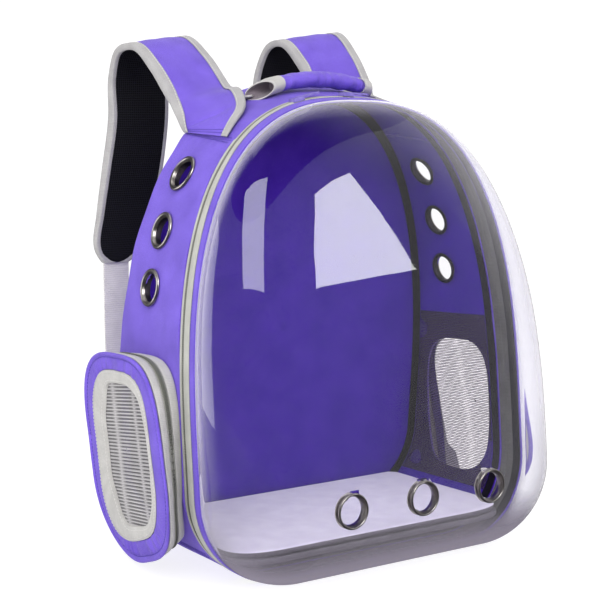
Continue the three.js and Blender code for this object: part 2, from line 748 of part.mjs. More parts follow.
function addStraps(group) {
  for (const [side, sign] of Object.entries(sides)) {
    const frames = strapFrames(side);
    addPiece(group, `strap_${side}_pad`, strapPad(frames), 'violet');
    addPiece(group, `strap_${side}_lining`, strapInside(frames), 'black');
    addPiece(group, `strap_${side}_binding_outer`, strapEdge(frames, 'outer', 1), 'grey');
    addPiece(group, `strap_${side}_binding_inner`, strapEdge(frames, 'inner', -1), 'grey');
    addPiece(group, `strap_${side}_webbing`, strapWebbing(sign, frames), 'grey');
  }
}

// Zip sliders

// A slider body with its pull lying along the zip, in one piece, along +X with its underside at z = 0
function sliderSolid() {
  const { length, width, thick } = slider;
  const shell = new THREE.BoxGeometry(length, width, thick).translate(0, 0, thick / 2);
  const outline = new THREE.Shape();
  const end = pull.length - pull.width / 2;
  outline.moveTo(0, -pull.width / 4);
  outline.lineTo(end, -pull.width / 2);
  outline.absarc(end, 0, pull.width / 2, -Math.PI / 2, Math.PI / 2, false);
  outline.lineTo(0, pull.width / 4);
  const hole = new THREE.Path();
  hole.absarc(end, 0, pull.hole, 0, 2 * Math.PI, true);
  outline.holes.push(hole);
  const plate = { depth: pull.thick, bevelEnabled: false, curveSegments: 5 };
  const tag = new THREE.ExtrudeGeometry(outline, plate);
  tag.translate(0, 0, thick - pull.thick / 2);
  return toGeometry(toSolid(shell).add(toSolid(tag)));
}

function addSliders(group) {
  const middle = borderWidth + gap + zipWidth / 2;
  for (const [name, x] of Object.entries(sliderPlaces)) {
    const sign = Math.sign(x);
    const top = stations(3, 4).map((u) => fromRim(middle)(sign * u, 0));
    const i = top.findIndex((point) => Math.abs(point.x) < Math.abs(x));
    const share = (x - top[i - 1].x) / (top[i].x - top[i - 1].x);
    const rise = top[i].z - top[i - 1].z;
    const run = top[i].x - top[i - 1].x;
    const piece = addPiece(group, name, sliderSolid(), 'violet');
    piece.position.copy(top[i - 1]).lerp(top[i], share);
    piece.position.z += gap;
    piece.rotation.y = -Math.atan2(rise, run) - (run < 0 ? Math.PI : 0);
  }
}

// Assembly

const body = new THREE.Group();
const pouches = new THREE.Group();
const carrying = new THREE.Group();
carrier.add(body, pouches, carrying);
addWalls(body);
addBack(body);
addFrontBands(body);
addSliders(body);
addDome(body);
addSideEyelets(body);
addFloor(body);
addPouches(pouches);
addHandle(carrying);
addStraps(carrying);

export default carrier;
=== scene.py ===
import math
import bpy
import numpy as np
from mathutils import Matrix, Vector


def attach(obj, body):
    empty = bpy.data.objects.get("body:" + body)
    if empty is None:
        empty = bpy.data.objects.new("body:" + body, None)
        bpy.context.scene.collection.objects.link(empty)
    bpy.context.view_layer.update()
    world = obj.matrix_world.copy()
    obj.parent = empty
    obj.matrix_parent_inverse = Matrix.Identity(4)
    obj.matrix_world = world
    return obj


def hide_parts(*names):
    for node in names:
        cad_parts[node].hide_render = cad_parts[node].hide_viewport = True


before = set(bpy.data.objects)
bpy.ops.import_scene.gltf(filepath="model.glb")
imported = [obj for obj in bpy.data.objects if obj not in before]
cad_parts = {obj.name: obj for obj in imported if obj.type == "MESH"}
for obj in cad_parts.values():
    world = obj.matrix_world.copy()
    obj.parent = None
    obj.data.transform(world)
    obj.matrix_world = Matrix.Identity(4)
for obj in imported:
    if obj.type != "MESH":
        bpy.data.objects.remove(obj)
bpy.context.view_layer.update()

# Pet carrier backpack. Sizes are millimetres in the part's own frame, meshes go out in metres
mm = 0.001
sides = {"left": -1, "right": 1}
scene = bpy.context.scene
print("frame loaded:", len(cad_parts), "nodes")


# Camera

camera = {"place": (-744.1, -1045.7, 372.7), "target": (35.9, 86.6, 210.7), "lens": 85.68, "sensor": 36}


# Links an object at a place, looking at a target
def aimAt(thing, place, target):
    scene.collection.objects.link(thing)
    thing.location = Vector(place) * mm
    aim = Vector(target) * mm - thing.location
    thing.rotation_euler = aim.to_track_quat("-Z", "Y").to_euler()


def addCamera():
    data = bpy.data.cameras.new("photoCamera")
    data.lens = camera["lens"]
    data.sensor_width = camera["sensor"]
    data.clip_start = 0.01
    eye = bpy.data.objects.new("photoCamera", data)
    aimAt(eye, camera["place"], camera["target"])
    scene.camera = eye


addCamera()


# Mesh tools

# Cells of a grid, each with its four corners in order round it
def gridCells(rows, cols, closeRows=False, closeCols=False):
    r = np.arange(rows if closeRows else rows - 1)
    c = np.arange(cols if closeCols else cols - 1)
    r, c = (side.ravel() for side in np.meshgrid(r, c, indexing="ij"))
    cornerRow = np.stack([r, r + 1, r + 1, r], 1)
    cornerCol = np.stack([c, c, c + 1, c + 1], 1)
    return cornerRow, cornerCol


# Running length along an array of points, in centimetres, with one more value when it closes on itself
def runLength(points, closed):
    ring = np.concatenate([points, points[:1]]) if closed else points
    steps = np.linalg.norm(np.diff(ring, axis=0), axis=1)
    return np.concatenate([[0], np.cumsum(steps)]) / 10


# A grid of points (rows, cols, 3) as a surface: its points, and groups of faces with their corners' UV.
# uv is a (rows, cols, 2) array, or None for running lengths. Cells with no point in keep are left out
def surface(points, closeRows=False, closeCols=False, uv=None, caps=False, keep=None):
    rows, cols = points.shape[:2]
    cornerRow, cornerCol = gridCells(rows, cols, closeRows, closeCols)
    ids = (cornerRow % rows) * cols + cornerCol % cols
    if uv is None:
        along = runLength(points[:, 0], closeRows)
        across = runLength(points[rows // 2], closeCols)
        corners = np.stack([along[cornerRow], across[cornerCol]], -1)
    else:
        corners = uv.reshape(-1, 2)[ids]
    if keep is not None:
        stay = keep.ravel()[ids].any(axis=1)
        ids, corners = ids[stay], corners[stay]
    groups = [(ids, corners)]
    if caps:
        first = np.arange(cols)[None, ::-1]
        last = (np.arange(cols) + (rows - 1) * cols)[None, :]
        flat = runLength(points[0], False)
        capUv = np.stack([flat, flat * 0], -1)
        groups += [(first, capUv[None, ::-1]), (last, capUv[None])]
    return points.reshape(-1, 3), groups


# A profile loop carried round a closed path
def ringSurface(points):
    return surface(points, closeRows=True, closeCols=True)


# A profile loop carried along an open path, closed at both ends
def tubeSurface(points):
    return surface(points, closeCols=True, caps=True)


# Several surfaces as one
def joined(parts):
    points, groups, start = [], [], 0
    for part, partGroups in parts:
        points.append(part)
        groups += [(ids + start, uv) for ids, uv in partGroups]
        start += len(part)
    return np.concatenate(points), groups


# Copies of one small part: each point goes to origin + x * across + y * along + z * out of its copy
def copies(part, origin, across, along, out):
    points, groups = part
    spread = origin[:, None]
    for axis, way in enumerate((across, along, out)):
        spread = spread + points[None, :, axis:axis + 1] * way[:, None]
    count = len(origin)
    shift = (np.arange(count) * len(points))[:, None, None]
    many = [((ids[None] + shift).reshape(-1, ids.shape[1]), np.tile(uv, (count, 1, 1))) for ids, uv in groups]
    return spread.reshape(-1, 3), many


# Six times the signed volume, positive when the faces of a closed surface point out
def signedVolume(points, groups):
    total = 0.0
    for ids, _ in groups:
        for side in range(1, ids.shape[1] - 1):
            a, b, c = (points[ids[:, k]] for k in (0, side, side + 1))
            total += float((a * np.cross(b, c)).sum())
    return total


# Puts a surface into a Blender object that stands for CAD nodes. Closed surfaces are turned to face out,
# open ones face away from the point called faceFrom, and unused points are dropped. thick adds a wall
# inwards, edge a bevel
def putPiece(name, part, materials, nodes=(), slot=None, faceFrom=None, thick=0.0, innerSlot=0, sharp=45,
             edge=0.0, pieceSlots=None):
    points, groups = part
    centre = points.mean(0) if faceFrom is None else np.array(faceFrom)
    if signedVolume(points - centre, groups) < 0:
        groups = [(ids[:, ::-1], uv[:, ::-1]) for ids, uv in groups]
    corners = np.concatenate([ids.ravel() for ids, _ in groups])
    used, corners = np.unique(corners, return_inverse=True)
    totals = np.concatenate([np.full(len(ids), ids.shape[1]) for ids, _ in groups])
    starts = np.concatenate([[0], np.cumsum(totals)[:-1]])
    mesh = bpy.data.meshes.new(name)
    mesh.vertices.add(len(used))
    mesh.vertices.foreach_set("co", (points[used] * mm).ravel())
    mesh.loops.add(len(corners))
    mesh.loops.foreach_set("vertex_index", corners.ravel())
    mesh.polygons.add(len(totals))
    mesh.polygons.foreach_set("loop_start", starts)
    layer = mesh.uv_layers.new(name="cloth")
    layer.data.foreach_set("uv", np.concatenate([uv.reshape(-1, 2) for _, uv in groups]).ravel())
    mesh.polygons.foreach_set("use_smooth", np.ones(len(totals), bool))
    if pieceSlots is not None:
        mesh.polygons.foreach_set("material_index", np.asarray(pieceSlots, np.int32))
    mesh.update(calc_edges=True)
    mesh.validate()
    mesh.set_sharp_from_angle(angle=math.radians(sharp))
    for material in materials if isinstance(materials, list) else [materials]:
        mesh.materials.append(material)
    piece = bpy.data.objects.new(name, mesh)
    scene.collection.objects.link(piece)
    if thick:
        wallLayer = piece.modifiers.new("wall", "SOLIDIFY")
        wallLayer.thickness = thick * mm
        wallLayer.offset = -1
        wallLayer.use_even_offset = False
        wallLayer.material_offset = innerSlot
    if edge:
        soften = piece.modifiers.new("edge", "BEVEL")
        soften.width = edge * mm
        soften.segments = 2
        soften.limit_method = "ANGLE"
        soften.angle_limit = math.radians(50)
    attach(piece, "root")
    if nodes:
        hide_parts(*nodes)
    return piece


def unit(vectors):
    return vectors / np.maximum(np.linalg.norm(vectors, axis=-1, keepdims=True), 1e-9)


# Even angles round a full turn
def around(count):
    return np.arange(count) / count * 2 * math.pi


# Arrays of x, y and z as points, each stretched to the shape of all three
def pointsOf(x, y, z):
    return np.stack(np.broadcast_arrays(x, y, z), -1)


# A rectangle from (a0, b0) to (a1, b1) with round corners, as a closed loop of points
def roundRect(a0, a1, b0, b1, radius, steps=3):
    turn = np.linspace(0, math.pi / 2, steps + 1)
    left, right, low, high = a0 + radius, a1 - radius, b0 + radius, b1 - radius
    loops = []
    for quarter, (a, b) in enumerate([(right, high), (left, high), (left, low), (right, low)]):
        angle = turn + quarter * math.pi / 2
        loops.append(np.stack([a + radius * np.cos(angle), b + radius * np.sin(angle)], 1))
    return np.concatenate(loops)


# Soft, repeatable unevenness: a sum of slanted sine waves over two lengths, about -1 to 1
def unevenness(a, b, size, seed):
    draw = np.random.default_rng(seed)
    total = 0.0
    for _ in range(5):
        angle, phase = draw.uniform(0, 2 * math.pi, 2)
        wave = 2 * math.pi / (size * draw.uniform(0.5, 1.4))
        total = total + np.sin(wave * (a * math.cos(angle) + b * math.sin(angle)) + phase)
    return total / 3


# Node tools

# A node with its settings, then its inputs: a socket is linked, anything else is set
def addNode(tree, kind, values=None, **settings):
    made = tree.nodes.new(kind)
    for key, value in settings.items():
        setattr(made, key, value)
    for key, value in (values or {}).items():
        if isinstance(value, bpy.types.NodeSocket):
            tree.links.new(value, made.inputs[key])
        else:
            made.inputs[key].default_value = value
    return made


def sums(tree, operation, *values, clamp=False):
    made = addNode(tree, "ShaderNodeMath", dict(enumerate(values)), operation=operation, use_clamp=clamp)
    return made.outputs[0]


# value * gain + plus
def scaleAdd(tree, value, gain, plus, clamp=False):
    return sums(tree, "MULTIPLY_ADD", value, gain, plus, clamp=clamp)


# Carries a value from the range low to high over to the range start to end, held at both ends
def mapRange(tree, value, low, high, start=0.0, end=1.0, kind="LINEAR"):
    values = {0: value, 1: low, 2: high, 3: start, 4: end}
    return addNode(tree, "ShaderNodeMapRange", values, interpolation_type=kind).outputs[0]


def mixColours(tree, share, first, second, blend="MIX"):
    values = {0: share, 6: first, 7: second}
    return addNode(tree, "ShaderNodeMix", values, data_type="RGBA", blend_type=blend).outputs[2]


def noiseAt(tree, place, scale, detail, rough=0.5):
    values = {"Vector": place, "Scale": scale, "Detail": detail, "Roughness": rough}
    return addNode(tree, "ShaderNodeTexNoise", values).outputs[0]


def scaledPlace(tree, place, scale):
    return addNode(tree, "ShaderNodeVectorMath", {0: place, "Scale": scale}, operation="SCALE").outputs[0]


def splitPlace(tree, place):
    return addNode(tree, "ShaderNodeSeparateXYZ", {0: place}).outputs


# Cosine of a value that repeats a number of times in each unit
def repeatWave(tree, value, times):
    return sums(tree, "COSINE", sums(tree, "MULTIPLY", sums(tree, "MULTIPLY", value, times), 2 * math.pi))


def makeGroup(name, inputs, outputs):
    tree = bpy.data.node_groups.new(name, "ShaderNodeTree")
    for label, (kind, value) in inputs.items():
        socket = tree.interface.new_socket(label, in_out="INPUT", socket_type=kind)
        if value is not None:
            socket.default_value = value
    for label, kind in outputs.items():
        tree.interface.new_socket(label, in_out="OUTPUT", socket_type=kind)
    return tree, tree.nodes.new("NodeGroupInput").outputs, tree.nodes.new("NodeGroupOutput").inputs


# Node groups

number, vector, colour = "NodeSocketFloat", "NodeSocketVector", "NodeSocketColor"


# Plain weave: in a checkerboard of cells one set of threads, then the other, arches over as |sin|
def makeWeaveGroup():
    inputs = {"Place": (vector, None), "Threads": (number, 14.0)}
    tree, given, result = makeGroup("plainWeave", inputs, {"Height": number})
    split = splitPlace(tree, scaledPlace(tree, given["Place"], given["Threads"]))
    waves = [sums(tree, "SINE", sums(tree, "MULTIPLY", split[k], math.pi)) for k in (0, 1)]
    arches = [sums(tree, "ABSOLUTE", wave) for wave in waves]
    cells = sums(tree, "ADD", sums(tree, "FLOOR", split[0]), sums(tree, "FLOOR", split[1]))
    parity = sums(tree, "MULTIPLY", sums(tree, "FRACT", sums(tree, "MULTIPLY", cells, 0.5)), 2.0)
    picked = addNode(tree, "ShaderNodeMix", {0: parity, 2: arches[0], 3: arches[1]})
    tree.links.new(picked.outputs[0], result["Height"])
    return tree


# Tape ribs: a raised cosine along the tape, with finer threads across it
def makeRibGroup():
    inputs = {"Place": (vector, None), "Ribs": (number, 6.0), "Threads": (number, 14.0)}
    tree, given, result = makeGroup("tapeRibs", inputs, {"Height": number})
    split = splitPlace(tree, given["Place"])
    rib, thread = repeatWave(tree, split[0], given["Ribs"]), repeatWave(tree, split[1], given["Threads"])
    height = scaleAdd(tree, rib, 0.35, scaleAdd(tree, thread, 0.15, 0.5))
    tree.links.new(height, result["Height"])
    return tree


# Two tones of one colour: broad clouds of noise and a fine fleck, mixed between a dark and a light colour
def makeToneGroup():
    inputs = {"Place": (vector, None), "Dark": (colour, None), "Light": (colour, None),
              "Clouds": (number, 0.35), "Fleck": (number, 9.0)}
    tree, given, result = makeGroup("clothTone", inputs, {"Color": colour, "Mask": number})
    clouds = noiseAt(tree, given["Place"], given["Clouds"], 3.0)
    fleck = noiseAt(tree, given["Place"], given["Fleck"], 2.0)
    both = scaleAdd(tree, fleck, 0.45, sums(tree, "MULTIPLY", clouds, 0.55))
    mask = mapRange(tree, both, 0.32, 0.68)
    tree.links.new(mixColours(tree, mask, given["Dark"], given["Light"]), result["Color"])
    tree.links.new(mask, result["Mask"])
    return tree


# Open mesh: holes on a staggered lattice where a product of slanted cosines rises over a limit, thread
# between them
def makeMeshGroup():
    inputs = {"Place": (vector, None), "Holes": (number, 5.0), "Open": (number, 0.5)}
    tree, given, result = makeGroup("openMesh", inputs, {"Thread": number})
    split = splitPlace(tree, scaledPlace(tree, given["Place"], given["Holes"]))
    slants = [sums(tree, kind, split[0], split[1]) for kind in ("ADD", "SUBTRACT")]
    waves = [sums(tree, "COSINE", sums(tree, "MULTIPLY", slant, math.pi)) for slant in slants]
    lattice = scaleAdd(tree, sums(tree, "MULTIPLY", waves[0], waves[1]), 0.5, 0.5)
    limit = sums(tree, "SUBTRACT", 1.0, given["Open"])
    thread = mapRange(tree, lattice, sums(tree, "ADD", limit, 0.1), sums(tree, "SUBTRACT", limit, 0.1))
    tree.links.new(thread, result["Thread"])
    return tree


weaveGroup = makeWeaveGroup()
ribGroup = makeRibGroup()
toneGroup = makeToneGroup()
meshGroup = makeMeshGroup()


# Materials

# Screen colour, 0 to 255, as linear light
def srgb(*screen):
    light = [((c / 255 + 0.055) / 1.055) ** 2.4 if c > 10 else c / 3295 for c in screen]
    return (*light, 1.0)


def newMaterial(name, **sockets):
    made = bpy.data.materials.new(name)
    made.use_nodes = True
    tree = made.node_tree
    shader = tree.nodes["Principled BSDF"]
    for key, value in sockets.items():
        shader.inputs[key.replace("_", " ")].default_value = value
    place = addNode(tree, "ShaderNodeUVMap", uv_map="cloth").outputs[0]
    return made, tree, shader, place


# Links sockets to the shader's inputs, named with _ for a space
def feed(tree, shader, **sockets):
    for key, socket in sockets.items():
        tree.links.new(socket, shader.inputs[key.replace("_", " ")])


def placeGroup(tree, group, **values):
    return addNode(tree, "ShaderNodeGroup", values, node_tree=group).outputs


def toneAt(tree, place, dark, light, clouds, fleck=9.0):
    return placeGroup(tree, toneGroup, Place=place, Dark=dark, Light=light, Clouds=clouds, Fleck=fleck)


# Bump from a height, its depth given in millimetres
def addBump(tree, shader, height, depth, strength=0.6):
    bump = addNode(tree, "ShaderNodeBump", {"Height": height, "Distance": depth * mm, "Strength": strength})
    feed(tree, shader, Normal=bump.outputs[0])


# Two tones, darkened where a height is low: by height times gain, plus low
def shadedTone(tree, tone, height, gain, low):
    deep = scaleAdd(tree, height, gain, low)
    return mixColours(tree, 1.0, tone["Color"], deep, "MULTIPLY")


# Woven cloth: two tones, thread bump, roughness that falls on the tops of the threads
def clothMaterial(name, dark, light, threads=13.0, sheen=0.25, shine=0.35):
    made, tree, shader, place = newMaterial(name, Sheen_Weight=sheen, Sheen_Roughness=0.45,
                                            Specular_IOR_Level=shine)
    height = placeGroup(tree, weaveGroup, Place=place, Threads=threads)["Height"]
    tone = toneAt(tree, place, dark, light, 0.35)
    feed(tree, shader, Base_Color=shadedTone(tree, tone, height, 0.22, 0.80),
         Roughness=scaleAdd(tree, height, -0.12, 0.70))
    addBump(tree, shader, height, 0.35)
    return made


# Ribbed tape: two tones darkened between the ribs. Glow stands for daylight through the tape
def tapeMaterial(name, dark, light, ribs=7.0, threads=16.0, depth=0.3, rough=0.72, glow=0.0, sheen=0.12,
                 shine=0.3):
    made, tree, shader, place = newMaterial(name, Sheen_Weight=sheen, Specular_IOR_Level=shine,
                                            Emission_Strength=glow)
    height = placeGroup(tree, ribGroup, Place=place, Ribs=ribs, Threads=threads)["Height"]
    tone = toneAt(tree, place, dark, light, 0.6)
    shaded = shadedTone(tree, tone, height, 0.2, 0.86)
    feed(tree, shader, Base_Color=shaded, Roughness=scaleAdd(tree, tone["Mask"], 0.1, rough))
    if glow:
        feed(tree, shader, Emission_Color=shaded)
    addBump(tree, shader, height, depth)
    return made


# Black spacer mesh of the strap's inside: staggered cells painted darker than their threads, as painted shade
# in the cells' depth, and threads that shine a little
def airMeshMaterial():
    made, tree, shader, place = newMaterial("airMesh", Specular_IOR_Level=0.12)
    thread = placeGroup(tree, meshGroup, Place=place, Holes=4.6, Open=0.42)["Thread"]
    feed(tree, shader, Base_Color=mixColours(tree, thread, srgb(3, 3, 5), srgb(24, 24, 29)),
         Roughness=scaleAdd(tree, thread, -0.25, 0.9))
    addBump(tree, shader, thread, 0.8)
    return made


# Folds are the place and half width, in centimetres, of the mesh's two pale upright folds, their paleness a
# painted highlight
windowKnit = {"pitch": 0.29, "yarn": (srgb(157, 155, 156), srgb(185, 182, 183)),
              "folds": ((1.4, 0.42), (-2.6, 0.3))}


# Knitted window mesh: dark courses across pale yarn, fine holes between them, and along each fold a bell
# curve of pale yarn, a painted highlight where the fold catches the light. Glow is painted daylight and shows
# on the front of the faces only
def stripeMeshMaterial(name, course, glow):
    made, tree, shader, place = newMaterial(name, Specular_IOR_Level=0.25, Sheen_Weight=0.2, Roughness=0.8,
                                            Emission_Strength=glow)
    split = splitPlace(tree, place)
    wave = sums(tree, "COSINE", sums(tree, "MULTIPLY", split[0], 2 * math.pi / windowKnit["pitch"]))
    band = mapRange(tree, wave, -0.45, 0.45)
    for fold, width in windowKnit["folds"]:
        offset = sums(tree, "DIVIDE", sums(tree, "SUBTRACT", split[1], fold), width)
        # Pale band along the fold: painted highlight
        foldHighlight = sums(tree, "EXPONENT", sums(tree, "MULTIPLY", sums(tree, "MULTIPLY", offset, offset), -1.0))
        band = sums(tree, "MAXIMUM", band, sums(tree, "MULTIPLY", foldHighlight, 0.95))
    thread = placeGroup(tree, meshGroup, Place=place, Holes=7.0, Open=0.35)["Thread"]
    tone = toneAt(tree, place, *windowKnit["yarn"], 0.5)
    striped = mixColours(tree, band, course, tone["Color"])
    feed(tree, shader, Base_Color=striped, Alpha=scaleAdd(tree, thread, 0.4, 0.5, clamp=True))
    if glow:
        behind = addNode(tree, "ShaderNodeNewGeometry").outputs["Backfacing"]
        feed(tree, shader, Emission_Color=striped,
             Emission_Strength=scaleAdd(tree, behind, -glow, glow))
    addBump(tree, shader, wave, 0.3)
    return made


# Dark inner mesh: thin yarn with open cells that let the light of the pouch window through
def darkMeshMaterial():
    made, tree, shader, place = newMaterial("darkMesh", Specular_IOR_Level=0.25, Roughness=0.8)
    thread = placeGroup(tree, meshGroup, Place=place, Holes=6.0, Open=0.5)["Thread"]
    tone = toneAt(tree, place, srgb(44, 36, 46), srgb(68, 56, 68), 0.4)
    feed(tree, shader, Base_Color=tone["Color"],
         Alpha=scaleAdd(tree, thread, 0.6, 0.13, clamp=True))
    addBump(tree, shader, thread, 0.4)
    return made


# Plated metal: two tones, rougher where it is lighter
def metalMaterial(name, dark, light, rough):
    made, tree, shader, place = newMaterial(name, Metallic=1.0)
    tone = toneAt(tree, place, dark, light, 1.2, 14.0)
    feed(tree, shader, Base_Color=tone["Color"], Roughness=scaleAdd(tree, tone["Mask"], 0.14, rough))
    return made


# Lilac paint on the zip sliders, worn to a paler tone in flecks
def paintMaterial():
    made, tree, shader, _ = newMaterial("lilacPaint", Metallic=0.2, Coat_Weight=0.3)
    where = addNode(tree, "ShaderNodeTexCoord").outputs["Object"]
    place = scaledPlace(tree, where, 100.0)  # metres to centimetres
    tone = toneAt(tree, place, srgb(96, 80, 168), srgb(150, 136, 205), 2.0)
    feed(tree, shader, Base_Color=tone["Color"], Roughness=scaleAdd(tree, tone["Mask"], 0.15, 0.3))
    return made


# Haze of the clear sheet and painted light on it, as (from, to, amount). The haze colour turns from pale to a
# darker grey downwards between two heights in metres, as painted shade. The low grey band, painted shade
# along the bubble's bottom, lies between two heights in metres, the pale band just ahead of the rim, a
# painted reflection of the rolled rim, between two distances ahead of the rim, and the edge haze between two
# shares of facing away
clear = {"tint": (0.945, 0.94, 0.965, 1.0), "shadow": (0.90, 0.89, 0.94, 1.0),
         "paleHazeAndReflection": srgb(236, 233, 241), "shadeHaze": srgb(132, 126, 139), "shadeHeights": (0.03, 0.14),
         "lowShadeBand": (0.006, 0.042, 0.85), "rimReflection": (0.003, 0.013, 0.17), "edgeHaze": (0.22, 0.7, 0.3)}


# Clear sheet: glass to the eye, hazy along its edges, with painted shade low down and a painted reflection
# along the rim, and plainly see-through to the lamps
def clearMaterial():
    made, tree, shader, place = newMaterial("clearSheet", Transmission_Weight=1.0, IOR=1.42,
                                            Base_Color=clear["tint"])
    feed(tree, shader, Roughness=scaleAdd(tree, noiseAt(tree, place, 0.25, 2.0), 0.03, 0.0))
    through = addNode(tree, "ShaderNodeBsdfTransparent", {"Color": clear["shadow"]})
    split = splitPlace(tree, addNode(tree, "ShaderNodeTexCoord").outputs["Object"])
    # Haze colour darker towards the bottom: painted shade on the low part of the bubble
    low = mapRange(tree, split[2], *clear["shadeHeights"], 1.0, 0.0)
    tint = mixColours(tree, low, clear["paleHazeAndReflection"], clear["shadeHaze"])
    hazeAndPaintedLight = addNode(tree, "ShaderNodeBsdfDiffuse", {"Color": tint})
    steep = addNode(tree, "ShaderNodeLayerWeight", {"Blend": 0.5}).outputs["Facing"]
    start, end, most = clear["edgeHaze"]
    edge = mapRange(tree, steep, start, end, 0.0, most, "SMOOTHSTEP")
    rimPlane = scaleAdd(tree, split[2], body["lean"], -body["halfDepth"] * mm)
    # Pale band just ahead of the rim: painted reflection of the bubble's rolled rim
    start, end, most = clear["rimReflection"]
    rimGlint = mapRange(tree, sums(tree, "SUBTRACT", rimPlane, split[1]), start, end, most, 0.0, "SMOOTHSTEP")
    # Nearly opaque grey band low on the bubble: painted shade along its bottom
    start, end, most = clear["lowShadeBand"]
    shadeBand = mapRange(tree, split[2], start, end, 1.0, 0.0)
    amount = scaleAdd(tree, shadeBand, most, sums(tree, "MAXIMUM", edge, rimGlint), clamp=True)
    glassHazeAndPaintedLight = addNode(tree, "ShaderNodeMixShader", {0: amount, 1: shader.outputs[0], 2: hazeAndPaintedLight.outputs[0]})
    shadowRay = addNode(tree, "ShaderNodeLightPath").outputs["Is Shadow Ray"]
    mixed = addNode(tree, "ShaderNodeMixShader", {0: shadowRay, 1: glassHazeAndPaintedLight.outputs[0], 2: through.outputs[0]})
    tree.links.new(mixed.outputs[0], tree.nodes["Material Output"].inputs["Surface"])
    return made


# Short plush: soft clouds, pile as a fine bump, strong sheen
def plushMaterial():
    made, tree, shader, place = newMaterial("plush", Sheen_Weight=0.6, Sheen_Roughness=0.6,
                                            Specular_IOR_Level=0.15)
    tone = toneAt(tree, place, srgb(214, 206, 226), srgb(240, 236, 247), 0.5, 12.0)
    pile = noiseAt(tree, place, 7.0, 4.0, 0.7)
    feed(tree, shader, Base_Color=tone["Color"], Roughness=scaleAdd(tree, pile, 0.1, 0.85))
    addBump(tree, shader, pile, 1.2, 0.5)
    return made


# Pale stage floor with the faintest mottling
def floorMaterial():
    made, tree, shader, place = newMaterial("paleFloor", Specular_IOR_Level=0.2, Roughness=0.7,
                                            Emission_Color=(1, 1, 1, 1), Emission_Strength=0.8)
    tone = toneAt(tree, place, srgb(147, 147, 147), srgb(150, 150, 150), 0.02, 0.3)
    feed(tree, shader, Base_Color=tone["Color"])
    return made


violetCloth = clothMaterial("violetCloth", srgb(94, 67, 184), srgb(120, 92, 216), sheen=0.1)
# Lining: the same violet cloth made darker, painted shade for the inside of the carrier
shadedLining = clothMaterial("shadedLining", srgb(56, 22, 150), srgb(76, 38, 175), sheen=0.0, shine=0.08)
violetThread = tapeMaterial("violetThread", srgb(70, 48, 160), srgb(84, 60, 176), ribs=12.0)
paleTape = tapeMaterial("paleTape", srgb(162, 160, 158), srgb(187, 185, 182))
# Strap bindings: a darker copy of the pale tape, painted shade
shadedStrapTape = tapeMaterial("shadedStrapTape", srgb(147, 145, 146), srgb(171, 169, 169))
# Underside of the window binding: the pale tape with a glow, painted daylight coming through it
paintedGlowTape = tapeMaterial("paintedGlowTape", srgb(150, 146, 158), srgb(172, 168, 180), glow=0.7)
paleWebbing = tapeMaterial("paleWebbing", srgb(200, 197, 194), srgb(218, 215, 211), ribs=5.0, threads=9.0,
                           depth=0.5)
paleThread = tapeMaterial("paleThread", srgb(186, 184, 182), srgb(205, 203, 201), ribs=12.0)
zipTapeCloth = tapeMaterial("zipTapeCloth", srgb(154, 154, 147), srgb(178, 178, 171), ribs=9.0, threads=20.0)
pouchZipCloth = tapeMaterial("pouchZipCloth", srgb(124, 124, 118), srgb(150, 150, 143), ribs=9.0,
                             threads=20.0)
# Zip tapes' faces that look into the bag: a darker copy of the zip tape, painted shade
shadedZipInside = tapeMaterial("shadedZipInside", srgb(84, 84, 80), srgb(112, 112, 106), ribs=3.0, sheen=0.0, shine=0.1)
zipCoilNylon = tapeMaterial("zipCoilNylon", srgb(82, 84, 76), srgb(108, 109, 101), ribs=3.0, rough=0.45)
blackTape = tapeMaterial("blackTape", srgb(15, 13, 20), srgb(27, 24, 32), sheen=0.0, shine=0.1)
airMesh = airMeshMaterial()
stripeMesh = stripeMeshMaterial("stripeMesh", srgb(82, 80, 82), 0.0)
# Inner face of the window mesh: paler courses and a strong glow, painted daylight seen through the window
# from inside the bag
paintedDaylightMesh = stripeMeshMaterial("paintedDaylightMesh", srgb(136, 134, 137), 5.6)
darkMesh = darkMeshMaterial()
nickel = metalMaterial("darkNickel", srgb(146, 141, 138), srgb(184, 179, 175), 0.26)
# Barrel and washer of the wall eyelets: a dark copy of the nickel, painted shade inside the bag
shadedRingInside = metalMaterial("shadedRingInside", srgb(44, 40, 46), srgb(66, 61, 68), 0.42)
lilacPaint = paintMaterial()
plush = plushMaterial()
boardCloth = clothMaterial("boardCloth", srgb(96, 92, 100), srgb(116, 111, 119), threads=10.0, sheen=0.1)
tubeLining = clothMaterial("tubeLining", srgb(108, 96, 108), srgb(128, 116, 126), threads=12.0)
print("materials made:", len(bpy.data.materials))


# Body form: two arches, the back and the front rim, with a wall that runs straight from one to the other

body = {"halfDepth": 86.6, "lean": 0.086, "wallThick": 2.5, "baseSeam": 1.5, "shoulderSeam": 3.62}
backArch = {"half": 170, "height": 417, "shoulder": 112, "corner": 76, "roundX": 2.57, "roundZ": 2.45}
rimArch = {"half": 176, "height": 400, "shoulder": 112, "corner": 76, "roundX": 2.58, "roundZ": 2.73}


